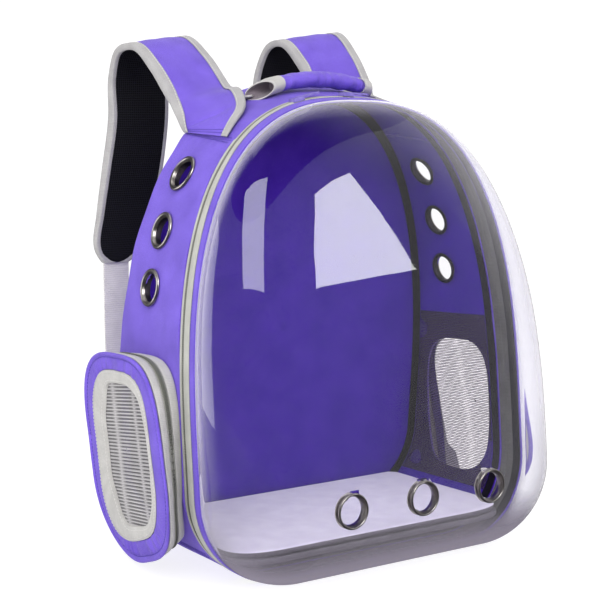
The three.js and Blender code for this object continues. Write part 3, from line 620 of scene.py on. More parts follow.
# Arch point: floor for |u| to 1, corner arc to 2, upright side to 3, then a superellipse to the top at 4
def archPoint(shape, u, inset=0.0):
    w = (np.asarray(u, float) + 4) % 8 - 4
    step = np.abs(w)
    half, corner = shape["half"] - inset, shape["corner"] - inset
    bend = np.clip(step - 1, 0, 1) * math.pi / 2
    over = np.clip(step - 3, 0, 1) * math.pi / 2
    crown = shape["height"] - inset - shape["shoulder"]
    x = np.where(step <= 1, step * (half - corner), half - corner + corner * np.sin(bend))
    x = np.where(step > 3, half * np.maximum(np.cos(over), 0) ** (2 / shape["roundX"]), x)
    z = inset + corner * (1 - np.cos(bend))
    z = np.where(step > 2, shape["corner"] + (step - 2) * (shape["shoulder"] - shape["corner"]), z)
    z = np.where(step > 3, shape["shoulder"] + crown * np.sin(over) ** (2 / shape["roundZ"]), z)
    return np.sign(w) * x, z


def backPoint(u, inset=0.0):
    x, z = archPoint(backArch, u, inset)
    return pointsOf(x, body["halfDepth"] - body["lean"] * z, z)


def rimPoint(u, inset=0.0):
    x, z = archPoint(rimArch, u, inset)
    return pointsOf(x, body["lean"] * z - body["halfDepth"], z)


# Wall point: straight mix of the back arch at v = 0 and the rim arch at v = 1
def wallPoint(u, v, inset=0.0):
    u, v, inset = np.broadcast_arrays(np.asarray(u, float), np.asarray(v, float), np.asarray(inset, float))
    return backPoint(u, inset) * (1 - v[..., None]) + rimPoint(u, inset) * v[..., None]


# Outward direction: cross product of small steps along u and v
def wallNormal(u, v):
    small = 0.002
    along = wallPoint(u + small, v) - wallPoint(u - small, v)
    across = wallPoint(u, v + small) - wallPoint(u, v - small)
    return unit(np.cross(along, across))


def wallSpan(u, inset=0.0):
    return np.linalg.norm(backPoint(u, inset) - rimPoint(u, inset), axis=-1)


# Point at a distance back from the rim along the wall
def fromRim(u, distance, inset=0.0):
    u, distance, inset = np.broadcast_arrays(u, distance, inset)
    return wallPoint(u, 1 - distance / wallSpan(u, inset), inset)


# Point at a distance ahead of the back along the wall
def fromBack(u, distance, inset=0.0):
    u, distance, inset = np.broadcast_arrays(u, distance, inset)
    return wallPoint(u, distance / wallSpan(u, inset), inset)


# Running length round half the outline against u, and back
uTable = np.linspace(0, 4, 8001)
arcTable = runLength(wallPoint(uTable, 0.5), False) * 10
halfLoop = float(arcTable[-1])


def stationAt(arc):
    return np.sign(arc) * np.interp(np.abs(arc), arcTable, uTable)


def arcAt(u):
    return np.sign(u) * np.interp(np.abs(u), uTable, arcTable)


# Even stations round the whole outline, from the top round the left, the floor and the right
def loopStations(count):
    return stationAt((np.arange(count) / count * 2 - 1) * halfLoop)


# How near a station is to the top of the arch, 0 on the sides and 1 over the top
def towardsTop(u):
    near = np.clip((np.abs(u) - 3.2) / 0.6, 0, 1)
    return near * near * (3 - 2 * near)


# A band round the whole outline: its profile is a closed loop of (distance from the rim, inset) points,
# and each distance grows by its share of topShift over the top
def ringBand(profile, count=360, ripple=0.0, seed=1, topShift=0.0):
    u = loopStations(count)[:, None]
    lift = ripple * unevenness(arcAt(u), profile[None, :, 0] * 3, 60, seed)
    distance = profile[None, :, 0] + towardsTop(u) * topShift
    points = fromRim(u, distance, profile[None, :, 1] + lift)
    return ringSurface(points)


# Fabric walls

wall = {"front": 28.1, "cell": 3.2, "hem": 2.2, "hemDrop": 0.9, "ripple": 0.8, "calm": 20, "sink": 0.2,
        "pucker": 0.22, "puckerReach": 9, "puckerPitch": 11, "topStretch": 2.6}
eyelet = {"barrel": 12.3, "flange": 16.5, "seat": 0.5, "depth": 0.35, "heights": (337, 289, 241)}
pouch = {"y": 8.5, "arc": 31, "halfY": 58, "halfArc": 78.5, "square": 3.2, "flare": 14, "slant": 0.05,
         "faceSlant": 0.265, "drop": 0.25, "swell": 0.9, "middle": 0.45, "faceHeight": 24.5,
         "windowMargin": 14}
quarterCorner = rimArch["corner"] * math.pi / 2
riseStations = np.linspace(1, 4, 6001)


# The u at which the right wall reaches a height, at a share of the way from back to rim
def stationOfHeight(z, share):
    return np.interp(z, wallPoint(riseStations, share)[:, 2], riseStations)


# The u of a length up the pouch from the end of the wall's corner arc, below zero within the arc
def pouchStation(rise):
    upright = stationOfHeight(rimArch["corner"] + rise, pouch["middle"])
    return np.where(rise < 0, 2 + rise / quarterCorner, upright)


def eyeletPlaces(sign):
    return sign * stationOfHeight(np.array(eyelet["heights"]), eyelet["depth"])


# A layout in run and depth as a surface on the wall: soft unevenness that dies out at the seams, hems
# that tuck in there as a bell curve, and gathers beside them as a sine along the depth
def layCloth(u, run, depth, span, seam, size, seed, gather=0.0, keep=None):
    tuck = wall["hemDrop"] * np.exp(-(seam / wall["hem"]) ** 2)
    waves = np.sin(depth * 2 * math.pi / wall["puckerPitch"])
    pucker = gather * np.exp(-(seam / wall["puckerReach"]) ** 2) * waves
    calm = np.clip(seam / wall["calm"], 0, 1)
    lift = wall["ripple"] * unevenness(run, depth, size, seed) * calm + pucker - tuck
    points = fromBack(u, depth) + wallNormal(u, depth / span) * (lift - wall["sink"])[..., None]
    points[..., 2] = np.maximum(points[..., 2], 0)
    return surface(points, uv=np.stack([run, depth], -1) / 10, keep=keep)


# A grid of even lengths between two ends, and of shares of the depth, in cells of about one size
def layout(start, end, deep):
    rows, cols = int(abs(end - start) / wall["cell"]) + 1, int(deep / wall["cell"]) + 1
    return np.meshgrid(np.linspace(start, end, rows), np.linspace(0, 1, cols), indexing="ij")


# A wall panel between two lengths round the outline. Holes and the window push the points of the layout
# that lie inside them out to their edge
def wallPanel(arcFrom, arcTo, holes=(), window=None, seed=3):
    arc, share = layout(arcFrom, arcTo, 145)
    span = wallSpan(stationAt(arc))
    depth = share * (span - wall["front"])
    keep = np.ones(arc.shape, bool)
    for holeArc, holeDepth, radius in holes:
        away = np.hypot(arc - holeArc, depth - holeDepth)
        inside = away < radius
        keep &= ~inside
        push = np.where(inside, radius / np.maximum(away, 0.01), 1)
        arc, depth = holeArc + (arc - holeArc) * push, holeDepth + (depth - holeDepth) * push
    if window is not None:
        reach, arc, depth = window(arc, depth, span)
        keep &= reach
    seam = np.minimum(np.abs(arc - arcFrom), np.abs(arc - arcTo))
    return layCloth(stationAt(arc), arc, depth, span, seam, 90, seed, wall["pucker"], keep)


# The top panel runs over the top of the arch, where u passes from 4 to -4
def topPanel(shoulder):
    length = 2 * (halfLoop - shoulder)
    run, share = layout(-length / 2, length / 2, 140)
    u = np.where(run < 0, stationAt(halfLoop + run), -stationAt(halfLoop - run))
    span = wallSpan(u)
    depth = share * (span - wall["front"] + wall["topStretch"] * towardsTop(u))
    return layCloth(u, run, depth, span, length / 2 - np.abs(run), 80, 12)


# Keeps the wall outside the pouch's window, a superellipse in height and depth, and draws points inside
# it out to its edge
def windowOf(sign):
    def cut(arc, depth, span):
        u = np.abs(stationAt(arc))
        upright = wallPoint(u, pouch["middle"])[..., 2] - rimArch["corner"]
        rise = np.where(u < 2, (u - 2) * quarterCorner, upright)
        up = rise - pouch["arc"]
        back = span / 2 - depth - pouch["y"] - pouch["slant"] * up
        reach = (np.abs(up) / (pouch["halfArc"] - pouch["windowMargin"])) ** pouch["square"]
        reach = reach + (np.abs(back) / (pouch["halfY"] - pouch["windowMargin"])) ** pouch["square"]
        inside = reach < 1
        grow = np.maximum(reach, 1e-4) ** (-1 / pouch["square"])
        newU = pouchStation(pouch["arc"] + up * grow)
        newDepth = wallSpan(newU) / 2 - pouch["y"] - back * grow - pouch["slant"] * up * grow
        return ~inside, np.where(inside, sign * arcAt(newU), arc), np.where(inside, newDepth, depth)
    return cut


def addWalls():
    base, shoulder = arcAt(body["baseSeam"]), arcAt(body["shoulderSeam"])
    cloth = [violetCloth, shadedLining]
    settings = dict(slot="violet", faceFrom=(0, -20, 200), thick=body["wallThick"] - 0.4, innerSlot=1,
                    edge=0.5)
    putPiece("base_wall", wallPanel(-base, base, seed=4), cloth, ["base_panel"], **settings)
    putPiece("top_wall", topPanel(shoulder), cloth, ["top_panel"], **settings)
    for side, sign in sides.items():
        places = eyeletPlaces(sign)
        holes = [(arcAt(u), float(eyelet["depth"] * wallSpan(u)), eyelet["barrel"]) for u in places]
        panel = wallPanel(sign * base, sign * shoulder, holes, windowOf(sign), seed=6 + sign)
        putPiece(f"side_wall_{side}", panel, cloth, [f"side_panel_{side}"], **settings)


addWalls()
print("walls made")


# Front bands: purple border, zip with its two tapes and coil, black bindings inside. A band lies between
# two distances from the rim, then two insets from the wall's face

zipBand = {"rear": (24.5, 27.8, 0.5, 1.7, 0.4), "groove": (19.6, 24.9, 1.3, 2.1, 0.3), "inside": 1.55,
           "front": (10.9, 20.0), "under": 1.6, "over": 0.1, "crown": 0.5}
zipCoil = {"at": 22.2, "inset": 0.9, "pitch": 1.9, "length": 4.0, "radius": 0.65, "slant": 0.25}
border = {"from": 0.3, "to": 10.5, "under": 2.3, "over": 0.6, "crown": 0.9, "topWiden": 4.5}
innerTape = {"rim_binding_front": 1.0, "rim_binding_rear": 28.4, "width": 9.0, "inset": 2.8, "thick": 1.0}


# A crowned strip: flat underside, upper side raised as 1 - t^4 across its width
def crownedProfile(low, high, under, over, crown, steps=10):
    t = np.linspace(-1, 1, steps)
    top = np.stack([low + (high - low) * (t + 1) / 2, over - crown * (1 - t ** 4)], 1)
    return np.concatenate([top, [[high, under], [low, under]]])


# A small capsule along X, a ring of six points at each of four stations
def capsule(length, radius):
    along = np.array([-0.5, -0.32, 0.32, 0.5])[:, None] * length
    size = np.array([0.45, 1, 1, 0.45])[:, None] * radius
    angle = np.arange(6) * math.pi / 3
    return tubeSurface(pointsOf(along, size * np.cos(angle), size * np.sin(angle)))


# For each edge of a closed profile, whether its middle lies above a limit in the profile's second
# coordinate
def beyond(profile, limit):
    return (profile[:, 1] + np.roll(profile[:, 1], -1)) / 2 > limit


# The step from each point's neighbour before to the one after, on a closed loop
def alongLoop(points):
    return unit(np.roll(points, -1, 0) - np.roll(points, 1, 0))


def addFrontBands():
    near, far = border["from"], border["to"]
    edge = crownedProfile(near, far, border["under"], border["over"], border["crown"])
    widen = border["topWiden"] * (edge[:, 0] - near) / (far - near)
    putPiece("front_border_cloth", ringBand(edge, 360, 0.15, 21, widen), violetCloth, ["front_border"],
             "violet")
    near, far = zipBand["front"]
    front = crownedProfile(near, far, zipBand["under"], zipBand["over"], zipBand["crown"])
    narrow = border["topWiden"] * (far - front[:, 0]) / (far - near)
    rear, groove = roundRect(*zipBand["rear"]), roundRect(*zipBand["groove"])
    tapes = [ringBand(rear, 360), ringBand(groove, 360), ringBand(front, 360, 0.1, 22, narrow)]
    # Faces beyond the inside inset take the darker copy: painted shade inside the bag
    inner = [np.tile(beyond(cut, zipBand["inside"]), 360) for cut in (rear, groove, front)]
    putPiece("zip_tapes", joined(tapes), [zipTapeCloth, shadedZipInside], ["front_zip"], "zip",
             pieceSlots=np.concatenate(inner))
    u = loopStations(int(2 * halfLoop / zipCoil["pitch"]))
    origin = fromRim(u, zipCoil["at"], zipCoil["inset"])
    along = alongLoop(origin)
    across = unit(fromRim(u, zipCoil["at"] - 1) - fromRim(u, zipCoil["at"] + 1))
    slanted = unit(across + zipCoil["slant"] * along)
    tooth = capsule(zipCoil["length"], zipCoil["radius"])
    teeth = copies(tooth, origin, slanted, along, unit(np.cross(slanted, along)))
    putPiece("zip_coil", teeth, zipCoilNylon, slot="zip")
    for name in ("rim_binding_front", "rim_binding_rear"):
        near, low = innerTape[name], innerTape["inset"]
        profile = roundRect(near, near + innerTape["width"], low, low + innerTape["thick"], 0.4)
        putPiece(name + "_tape", ringBand(profile, 300, 0.2, 30), blackTape, [name], "black")


addFrontBands()
print("front bands made")


# Clear bubble

dome = {"depth": 67, "fall": 1.27, "fullest": 0.21, "roll": 75, "round": 2.45, "thick": 1.5, "middle": 200,
        "rollSteps": 30, "faceSteps": 22, "stations": 400}
domeVent = {"places": (-74, 0, 74), "height": 64, "flange": 15.0, "seat": 0.4, "barrel": 12.3, "reach": 10}


def domeDepth(z):
    return dome["depth"] * (1 - dome["fall"] * (z / rimArch["height"] - dome["fullest"]) ** 2)


# Bubble point: the rim's arch drawn in by inset and scaled, pushed out of the rim plane by rise times the
# depth there
def domePoint(u, inset, rise, scale=1.0):
    x, z = archPoint(rimArch, u, inset)
    high = dome["middle"] + (z - dome["middle"]) * scale
    out = rise * domeDepth(high)
    slope = math.hypot(1, body["lean"])
    y = body["lean"] * high - body["halfDepth"] - out / slope
    return pointsOf(x * scale, y, high + out * body["lean"] / slope)


# Place and outward direction of a vent, low on the face
def domeVentPlace(x):
    def onFace(across, up):
        rise = (1 - (1 - up / dome["roll"]) ** dome["round"]) ** (1 / dome["round"])
        return domePoint(across / (rimArch["half"] - rimArch["corner"]), up, rise)
    point = onFace(x, domeVent["height"])
    across, up = onFace(x + 1, domeVent["height"]) - point, onFace(x, domeVent["height"] + 1) - point
    return point, unit(np.cross(across, up))


# Rings from the rim over the rolled edge, a superellipse quarter, then shrinking over the face to a fan
# at its middle. Points inside a vent are pushed out to its edge
def addDome():
    u = loopStations(dome["stations"])[None, :]
    turn = np.linspace(0, math.pi / 2, dome["rollSteps"])[:, None]
    inset = dome["roll"] * (1 - np.maximum(np.cos(turn), 0) ** (2 / dome["round"]))
    roll = domePoint(u, inset, np.sin(turn) ** (2 / dome["round"]))
    scale = np.linspace(1, 0.03, dome["faceSteps"])[1:, None]
    points = np.concatenate([roll, domePoint(u, dome["roll"], 1.0, scale)])
    keep = np.ones(points.shape[:2], bool)
    for x in domeVent["places"]:
        point, normal = domeVentPlace(x)
        away = points - point
        flat = away - (away @ normal)[..., None] * normal
        far = np.linalg.norm(flat, axis=-1)
        inside = (far < domeVent["barrel"]) & (np.abs(away @ normal) < domeVent["reach"])
        keep &= ~inside
        push = flat * (domeVent["barrel"] / np.maximum(far, 0.01) - 1)[..., None]
        points = np.where(inside[..., None], points + push, points)
    part, groups = surface(points, closeCols=True, keep=keep)
    rows, cols = points.shape[:2]
    last = (rows - 1) * cols + np.arange(cols)
    fan = np.stack([last, np.full(cols, len(part)), np.roll(last, -1)], 1)
    part = np.concatenate([part, [points[-1].mean(0)]])
    groups.append((fan, np.zeros((cols, 3, 2))))
    putPiece("dome_sheet", (part, groups), clearMaterial(), ["clear_dome"], "clear", faceFrom=(0, -60, 200),
             thick=dome["thick"], sharp=80)


addDome()
print("bubble made")


# Metal vent rings

ring = {"crown": 2.6, "lip": 0.6, "washer": 15.0, "washerThick": 1.0, "sides": 56}


# Turned ring: a rolled rim outside, a lip falling into the barrel, and a washer inside, as a loop of
# (radius, height). Also which of its faces lie inside the barrel
def eyeletPart(flange, seat, washerTop):
    turn = np.linspace(0, math.pi, 11)
    low, bore, rim = eyelet["barrel"] + 0.5, eyelet["barrel"] - ring["lip"], ring["washer"]
    middle, half = (low + flange) / 2, (flange - low) / 2
    rise = seat + 0.3 + (ring["crown"] - seat - 0.3) * np.sin(turn) ** 0.8
    roll = np.stack([middle - half * np.cos(turn), rise], 1)
    lip = np.array([[bore, -washerTop - 0.5], [bore, -1.5], [bore + 0.4, -0.2]])
    seatLoop = [[flange - 0.6, seat - 0.1], [bore + 0.6, seat - 0.1]]
    under = -washerTop - ring["washerThick"]
    washer = [[bore + 0.6, -washerTop], [rim - 0.5, -washerTop], [rim, -washerTop - 0.4], [rim - 0.6, under],
              [bore + 0.4, under]]
    profile = np.concatenate([lip, roll, seatLoop, washer])
    angle = around(ring["sides"])[:, None]
    radius = profile[None, :, 0]
    points = pointsOf(radius * np.cos(angle), radius * np.sin(angle), profile[None, :, 1])
    within = np.tile(~beyond(profile, -0.15), ring["sides"])
    return ringSurface(points), within


def addEyelet(name, part, point, normal, barrel):
    side = unit(np.cross(normal, (0, 0, 1.0)))
    up = np.cross(normal, side)
    shape, within = part
    placed = copies(shape, point[None], side[None], up[None], normal[None])
    putPiece(name + "_ring", placed, [nickel, barrel], [name], "metal", sharp=60, pieceSlots=within)


def addEyelets():
    sidePart = eyeletPart(eyelet["flange"], eyelet["seat"], body["wallThick"] + 2)
    domePart = eyeletPart(domeVent["flange"], domeVent["seat"], dome["thick"] + 2.4)
    for side, sign in sides.items():
        for i, u in enumerate(eyeletPlaces(sign), 1):
            point, normal = wallPoint(u, eyelet["depth"]), wallNormal(u, eyelet["depth"])
            # Wall eyelets take the dark copy inside the barrel: painted shade
            addEyelet(f"side_eyelet_{side}_{i}", sidePart, point, normal, shadedRingInside)
    for i, x in enumerate(domeVent["places"], 1):
        addEyelet(f"dome_eyelet_{i}", domePart, *domeVentPlace(x), nickel)


addEyelets()
print("vent rings made")


# Back panel and its binding

backPad = {"face": 8.0, "inset": 2.8, "puff": 2.2, "quilt": 0.35, "middle": 190.0, "rings": 24,
           "stations": 320}
backTape = {"width": 9.0, "thick": 1.0, "gap": 0.3}


# Padded panel: the back arch shrunk in rings to its middle, thick at the middle and rolled over at the
# edge, for both faces. The binding is a flat loop carried round its inner face
def addBack():
    u = loopStations(backPad["stations"])[None, :]
    scale = np.sin(np.linspace(math.pi / 2, 0.02, backPad["rings"]))[:, None]
    x, z = archPoint(backArch, u, backPad["inset"])
    across, up = x * scale, backPad["middle"] + (z - backPad["middle"]) * scale
    edgeRoll = np.sqrt(np.clip(1 - scale ** 24, 0, 1))
    swell = backPad["puff"] * np.clip(1 - scale ** 6, 0, 1)
    quilt = backPad["quilt"] * unevenness(across, up, 120, 41)
    centre = backPad["face"] / 2
    faces = []
    for way, share in ((-1, 1), (1, 0.3)):
        thick = centre * (0.35 + 0.65 * edgeRoll) + share * (swell * 0.5 + quilt) * edgeRoll
        y = body["halfDepth"] - body["lean"] * up - centre + way * thick
        faces.append(pointsOf(across, y, up))
    points = np.concatenate([faces[0][::-1], faces[1]])
    uv = np.stack([points[..., 0], points[..., 2]], -1) / 10
    rear = np.repeat(np.arange(2 * backPad["rings"] - 1) >= backPad["rings"] - 1, backPad["stations"])
    pad = putPiece("back_pad", surface(points, closeCols=True, uv=uv, caps=True), [shadedLining, violetCloth],
                   ["back_panel"], "violet", pieceSlots=np.append(rear, [0, 1]))
    face, near = backPad["face"] + backTape["gap"], backPad["inset"]
    profile = roundRect(face, face + backTape["thick"], near, near + backTape["width"], 0.4)
    points = fromBack(loopStations(300)[:, None], profile[None, :, 0], profile[None, :, 1])
    putPiece("back_binding_tape", ringSurface(points), blackTape, ["back_binding"], "black")


addBack()
print("back made")


# Floor board and plush mat

floorPlate = {"under": 19.0, "boardThick": 5.0, "gap": 0.3, "matThick": 6.0, "matInset": 1.5,
              "middle": (0, -8.0), "front": 93.0, "cornerDepth": 30.0, "cornerWidth": 48.0, "backEdge": 73.5,
              "backHalf": 143.4, "rimHalf": 148.6, "backCut": 6, "stations": 240,
              "faceRings": 18, "edgeRings": 9, "matShadeRows": (16, 24)}


# Outline of the floor: straight sides from the back to rounded front corners, each a quadratic curve
def floorOutline(inset):
    back, rim = floorPlate["backHalf"] - inset, floorPlate["rimHalf"] - inset
    front, end, cut = floorPlate["front"] - inset, floorPlate["backEdge"], floorPlate["backCut"]
    t = np.linspace(0, 1, 25)[:, None]
    a = np.array([rim, floorPlate["cornerDepth"] - front])
    b = np.array([rim, -front])
    c = np.array([rim - floorPlate["cornerWidth"], -front])
    corner = (1 - t) ** 2 * a + 2 * t * (1 - t) * b + t ** 2 * c
    right = np.concatenate([[[back - cut, end], [back, end - cut]], corner])
    outline = np.concatenate([right, right[::-1] * (-1, 1)])
    run = runLength(outline, True)
    closed = np.concatenate([outline, outline[:1]])
    even = np.linspace(0, run[-1], floorPlate["stations"], endpoint=False)
    return np.stack([np.interp(even, run, closed[:, k]) for k in (0, 1)], -1)


# A plate with a rolled edge: rings from the middle of the underside out over the edge to the middle of
# the top
def floorPart(inset, low, high, roll, puff, seed):
    outline = floorOutline(inset)
    middle = np.array(floorPlate["middle"])
    faceRings, edgeRings = floorPlate["faceRings"], floorPlate["edgeRings"]
    turn = np.linspace(-math.pi / 2, math.pi / 2, edgeRings)
    grow = np.linspace(0.02, 0.96, faceRings)
    shrink = np.concatenate([grow, np.ones(edgeRings), grow[::-1]])[:, None]
    draw = np.concatenate([np.full(faceRings, roll), roll * (1 - np.cos(turn)), np.full(faceRings, roll)])
    edge = low + (high - low) * (np.sin(turn) + 1) / 2
    height = np.concatenate([np.full(faceRings, low), edge, np.full(faceRings, high)])
    flat = outline[None] + unit(middle - outline)[None] * draw[:, None, None]
    flat = middle + (flat - middle) * shrink[..., None]
    top = np.arange(len(height))[:, None] >= faceRings + edgeRings // 2
    x, y = flat[..., 0], flat[..., 1]
    rise = top * puff * (unevenness(x, y, 70, seed) + 0.4 * unevenness(x, y, 14, seed + 1))
    points = pointsOf(x, y, height[:, None] + rise * (shrink < 1))
    return surface(points, closeCols=True, uv=flat / 10, caps=True)


def addFloor():
    top = floorPlate["under"] + floorPlate["boardThick"]
    board = floorPart(0, floorPlate["under"], top, 1.2, 0.0, 50)
    putPiece("board", board, boardCloth, ["floor_board"], "board")
    low = top + floorPlate["gap"]
    cover = floorPart(floorPlate["matInset"], low, low + floorPlate["matThick"], 2.4, 0.7, 52)
    # The mat's side below its top edge takes the grey board cloth: painted shade under the rolled edge
    rows = np.arange(2 * floorPlate["faceRings"] + floorPlate["edgeRings"] - 1)
    start, end = floorPlate["matShadeRows"]
    shadedSide = np.repeat((rows >= start) & (rows < end), floorPlate["stations"])
    mat = putPiece("plush_mat", cover, [plush, boardCloth], ["floor_mat"], "mat",
                   pieceSlots=np.append(shadedSide, [0, 0]))


addFloor()
print("floor made")


# Side pouches. Bands lie between two heights off the wall

pouchBands = {"band_rear": (0.6, 8.4), "zip": (8.7, 14.3), "band_front": (14.6, 21.3)}
pouchFace = {"border": 14.0, "groove": 4.0, "gather": 1.0, "folds": 46, "stations": 260,
             "piping": {"inset": 1.7, "height": 23.6, "radius": 1.8},
             "puff": [(4.0, 24.0), (5.2, 24.5), (7.0, 24.9), (9.5, 25.0), (12.0, 24.8), (13.6, 24.3),
                      (13.9, 22.3)]}
# Bumps of an edge as (amount, bearing in degrees, power), ripples as (amount, count, phase)
panelShape = {"bumps": ((6.5, 188, 3), (-4, 314, 14), (2, 25, 3))}
windowShape = {"inset": 24.2, "rear": 11.5, "bumps": ((4, 195, 10), (-2, 250, 6)),
               "ripples": ((0.6, 5, 0.8), (0.4, 9, 2.1)), "height": 24.4, "crown": 0.9, "under": 22.6}
# Folds of the mesh as (amount, place, half width)
pouchSheet = {"flat": (0.145, 0.114), "area": 0.0131, "edge": 17.0, "height": 23.1, "sink": 1.0,
              "folds": ((0.5, 14, 4.5), (0.4, -26, 3.5)), "stations": 160}
innerMesh = {"low": 1.6, "high": 3.13, "inset": 3.1, "fromBack": 10.4, "fromRim": 38.6,
             "flat": (0.167, 0.119), "area": 0.0176}


# Superellipse coordinate: a sine or cosine to the power 2 / square, with its sign
def squared(wave):
    return np.sign(wave) * np.abs(wave) ** (2 / pouch["square"])


# Pouch point: a superellipse laid on the wall in arc and depth, flaring, leaning back and dropping at its
# rear corner as it stands out from the wall, and swelling where the wall curves under
def pouchPoint(sign, angle, inset, height, scale=1.0):
    angle, inset, height, scale = np.broadcast_arrays(angle, inset, height, scale)
    share = height / pouch["faceHeight"]
    slant = pouch["slant"] + (pouch["faceSlant"] - pouch["slant"]) * share
    up = (pouch["halfArc"] - inset) * scale * squared(np.sin(angle))
    rear = (pouch["halfY"] + pouch["flare"] * share - inset) * scale * squared(np.cos(angle))
    drop = pouch["drop"] * share * rear * np.maximum(-np.sin(angle), 0)
    arc = pouch["arc"] + up - drop
    y = pouch["y"] + rear + slant * up
    deep = height * (1 + pouch["swell"] * np.minimum(arc / pouch["halfArc"], 0) ** 2)
    u = pouchStation(arc)
    span = 2 * (body["halfDepth"] - body["lean"] * wallPoint(u, pouch["middle"])[..., 2])
    v = (span / 2 - y) / span
    return wallPoint(sign * u, v) + wallNormal(sign * u, v) * deep[..., None]


# A ring round the pouch from a closed profile of (inset, height)
def pouchRing(sign, profile):
    angle = around(pouchFace["stations"])[:, None]
    return ringSurface(pouchPoint(sign, angle, profile[None, :, 0], profile[None, :, 1]))


# Sum of bumps, each an amount at a bearing that falls off as a power of the cosine
def bumpsAt(angle, bumps):
    return sum(amount * np.maximum(np.cos(angle - math.radians(bearing)), 0) ** power
               for amount, bearing, power in bumps)


# Inner edge of the panel: wider at the front, narrower low at the rear
def panelEdge(angle):
    return pouchFace["border"] + bumpsAt(angle, panelShape["bumps"])


# Window edge: how far in the binding reaches, widest along the rear by an eased step, with sine ripples
def windowEdge(angle):
    wander = sum(amount * np.sin(count * angle + phase) for amount, count, phase in windowShape["ripples"])
    rear = np.clip(1.6 * np.cos(angle) - 0.25, 0, 1)
    shape = windowShape["rear"] * rear ** 2 * (3 - 2 * rear) + bumpsAt(angle, windowShape["bumps"])
    return windowShape["inset"] + shape + wander


# Pouch face: a piped edge, a sewn groove inside it, then a softly puffed face that reaches the panel's
# inner edge and gathers as a sine near the two ends
def facePart(sign):
    turn = np.radians(np.linspace(-80, 150, 12))
    edge = pouchFace["piping"]
    piping = np.stack([edge["inset"] - edge["radius"] * np.cos(turn),
                       edge["height"] + edge["radius"] * np.sin(turn)], 1)
    inset, height = np.concatenate([piping, pouchFace["puff"]]).T[:, None]
    angle = around(pouchFace["stations"])[:, None]
    gathers = np.abs(np.sin(angle)) ** 6 * np.sin(angle * pouchFace["folds"] + 3 * np.sin(angle * 5))
    upper = np.clip(height - edge["height"], 0, 1) * np.clip((inset - 3.8) / 2, 0, 1)
    groove = pouchFace["groove"]
    stretch = (panelEdge(angle) - groove) / (pouchFace["border"] - groove)
    reach = np.where(inset > groove, groove + (inset - groove) * stretch, inset)
    points = pouchPoint(sign, angle, reach, height + pouchFace["gather"] * gathers * upper)
    return ringSurface(points)


# Window binding: a crowned band from the panel in to the window's edge, and which of its faces look inwards
def windowBinding(sign):
    across = np.linspace(0, 1, 9)
    crown = windowShape["crown"] * np.sin(across * math.pi) ** 0.6
    top = np.stack([across, windowShape["height"] + crown], 1)
    profile = np.concatenate([top, [[1, windowShape["under"]], [0, windowShape["under"]]]])
    angle = around(pouchFace["stations"])[:, None]
    low = panelEdge(angle) + 0.1
    inset = low + (windowEdge(angle) - low) * profile[None, :, 0]
    points = pouchPoint(sign, angle, inset, profile[None, :, 1])
    under = np.arange(len(profile)) == len(profile) - 2
    return ringSurface(points), np.tile(under, len(angle))


# Window mesh: rings shrinking to the middle, sunk a little, with two soft upright folds as bell curves
def windowMesh(sign):
    count = pouchSheet["stations"]
    angle = around(count)[None, :]
    scale = np.linspace(1, 0.02, 34)[:, None]
    inset = pouchSheet["edge"]
    rear = (pouch["halfY"] + pouch["flare"] - inset) * scale * squared(np.cos(angle))
    folds = sum(amount * np.exp(-((rear - at) / width) ** 2) for amount, at, width in pouchSheet["folds"])
    height = pouchSheet["height"] - pouchSheet["sink"] * (1 - scale ** 6) + folds * (1 - scale ** 8)
    points = pouchPoint(sign, angle, inset, height, scale)
    uv = np.stack([points[..., 2] + 0.14 * rear, rear], -1) / 10
    part, groups = surface(points, closeCols=True, uv=uv)
    last = (len(scale) - 1) * count + np.arange(count)
    return part, groups + [(last[None], np.zeros((1, count, 2)))]


# Inner mesh: the wall's inside face between two stations, clear of the tapes, with a slight sag
def innerMeshPart(sign):
    arc = np.linspace(arcAt(innerMesh["low"]), arcAt(innerMesh["high"]), 60)[:, None]
    u = sign * stationAt(arc)
    share = np.linspace(0, 1, 40)[None, :]
    depth = innerMesh["fromBack"] + share * (wallSpan(u) - innerMesh["fromBack"] - innerMesh["fromRim"])
    sag = 0.25 * unevenness(arc, depth, 60, 70)
    points = fromBack(u, depth, innerMesh["inset"] + sag)
    return surface(points, uv=np.stack(np.broadcast_arrays(arc, depth), -1) / 10)


# Zip round the pouch: two tapes, a strip between them, and a coil of teeth over it
def addPouchZip(side, sign, low, high):
    middle = (low + high) / 2
    strips = [(0.4, low - 0.2, middle - 1.4), (0.4, middle + 1.4, high + 0.2)]
    strips.append((1.6, middle - 1.6, middle + 1.6))
    tapes = [pouchRing(sign, roundRect(near, 3, start, end, 0.4)) for near, start, end in strips]
    putPiece(f"pouch_{side}_zip_tapes", joined(tapes), pouchZipCloth, [f"pouch_{side}_zip"], "zip")
    angle = around(340)
    origin = pouchPoint(sign, angle, 0.1, middle)
    across = unit(pouchPoint(sign, angle, 0.9, middle + 1) - pouchPoint(sign, angle, 0.9, middle - 1))
    along = alongLoop(origin)
    teeth = copies(capsule(3.0, 0.7), origin, across, along, unit(np.cross(across, along)))
    putPiece(f"pouch_{side}_coil", teeth, zipCoilNylon, slot="zip")


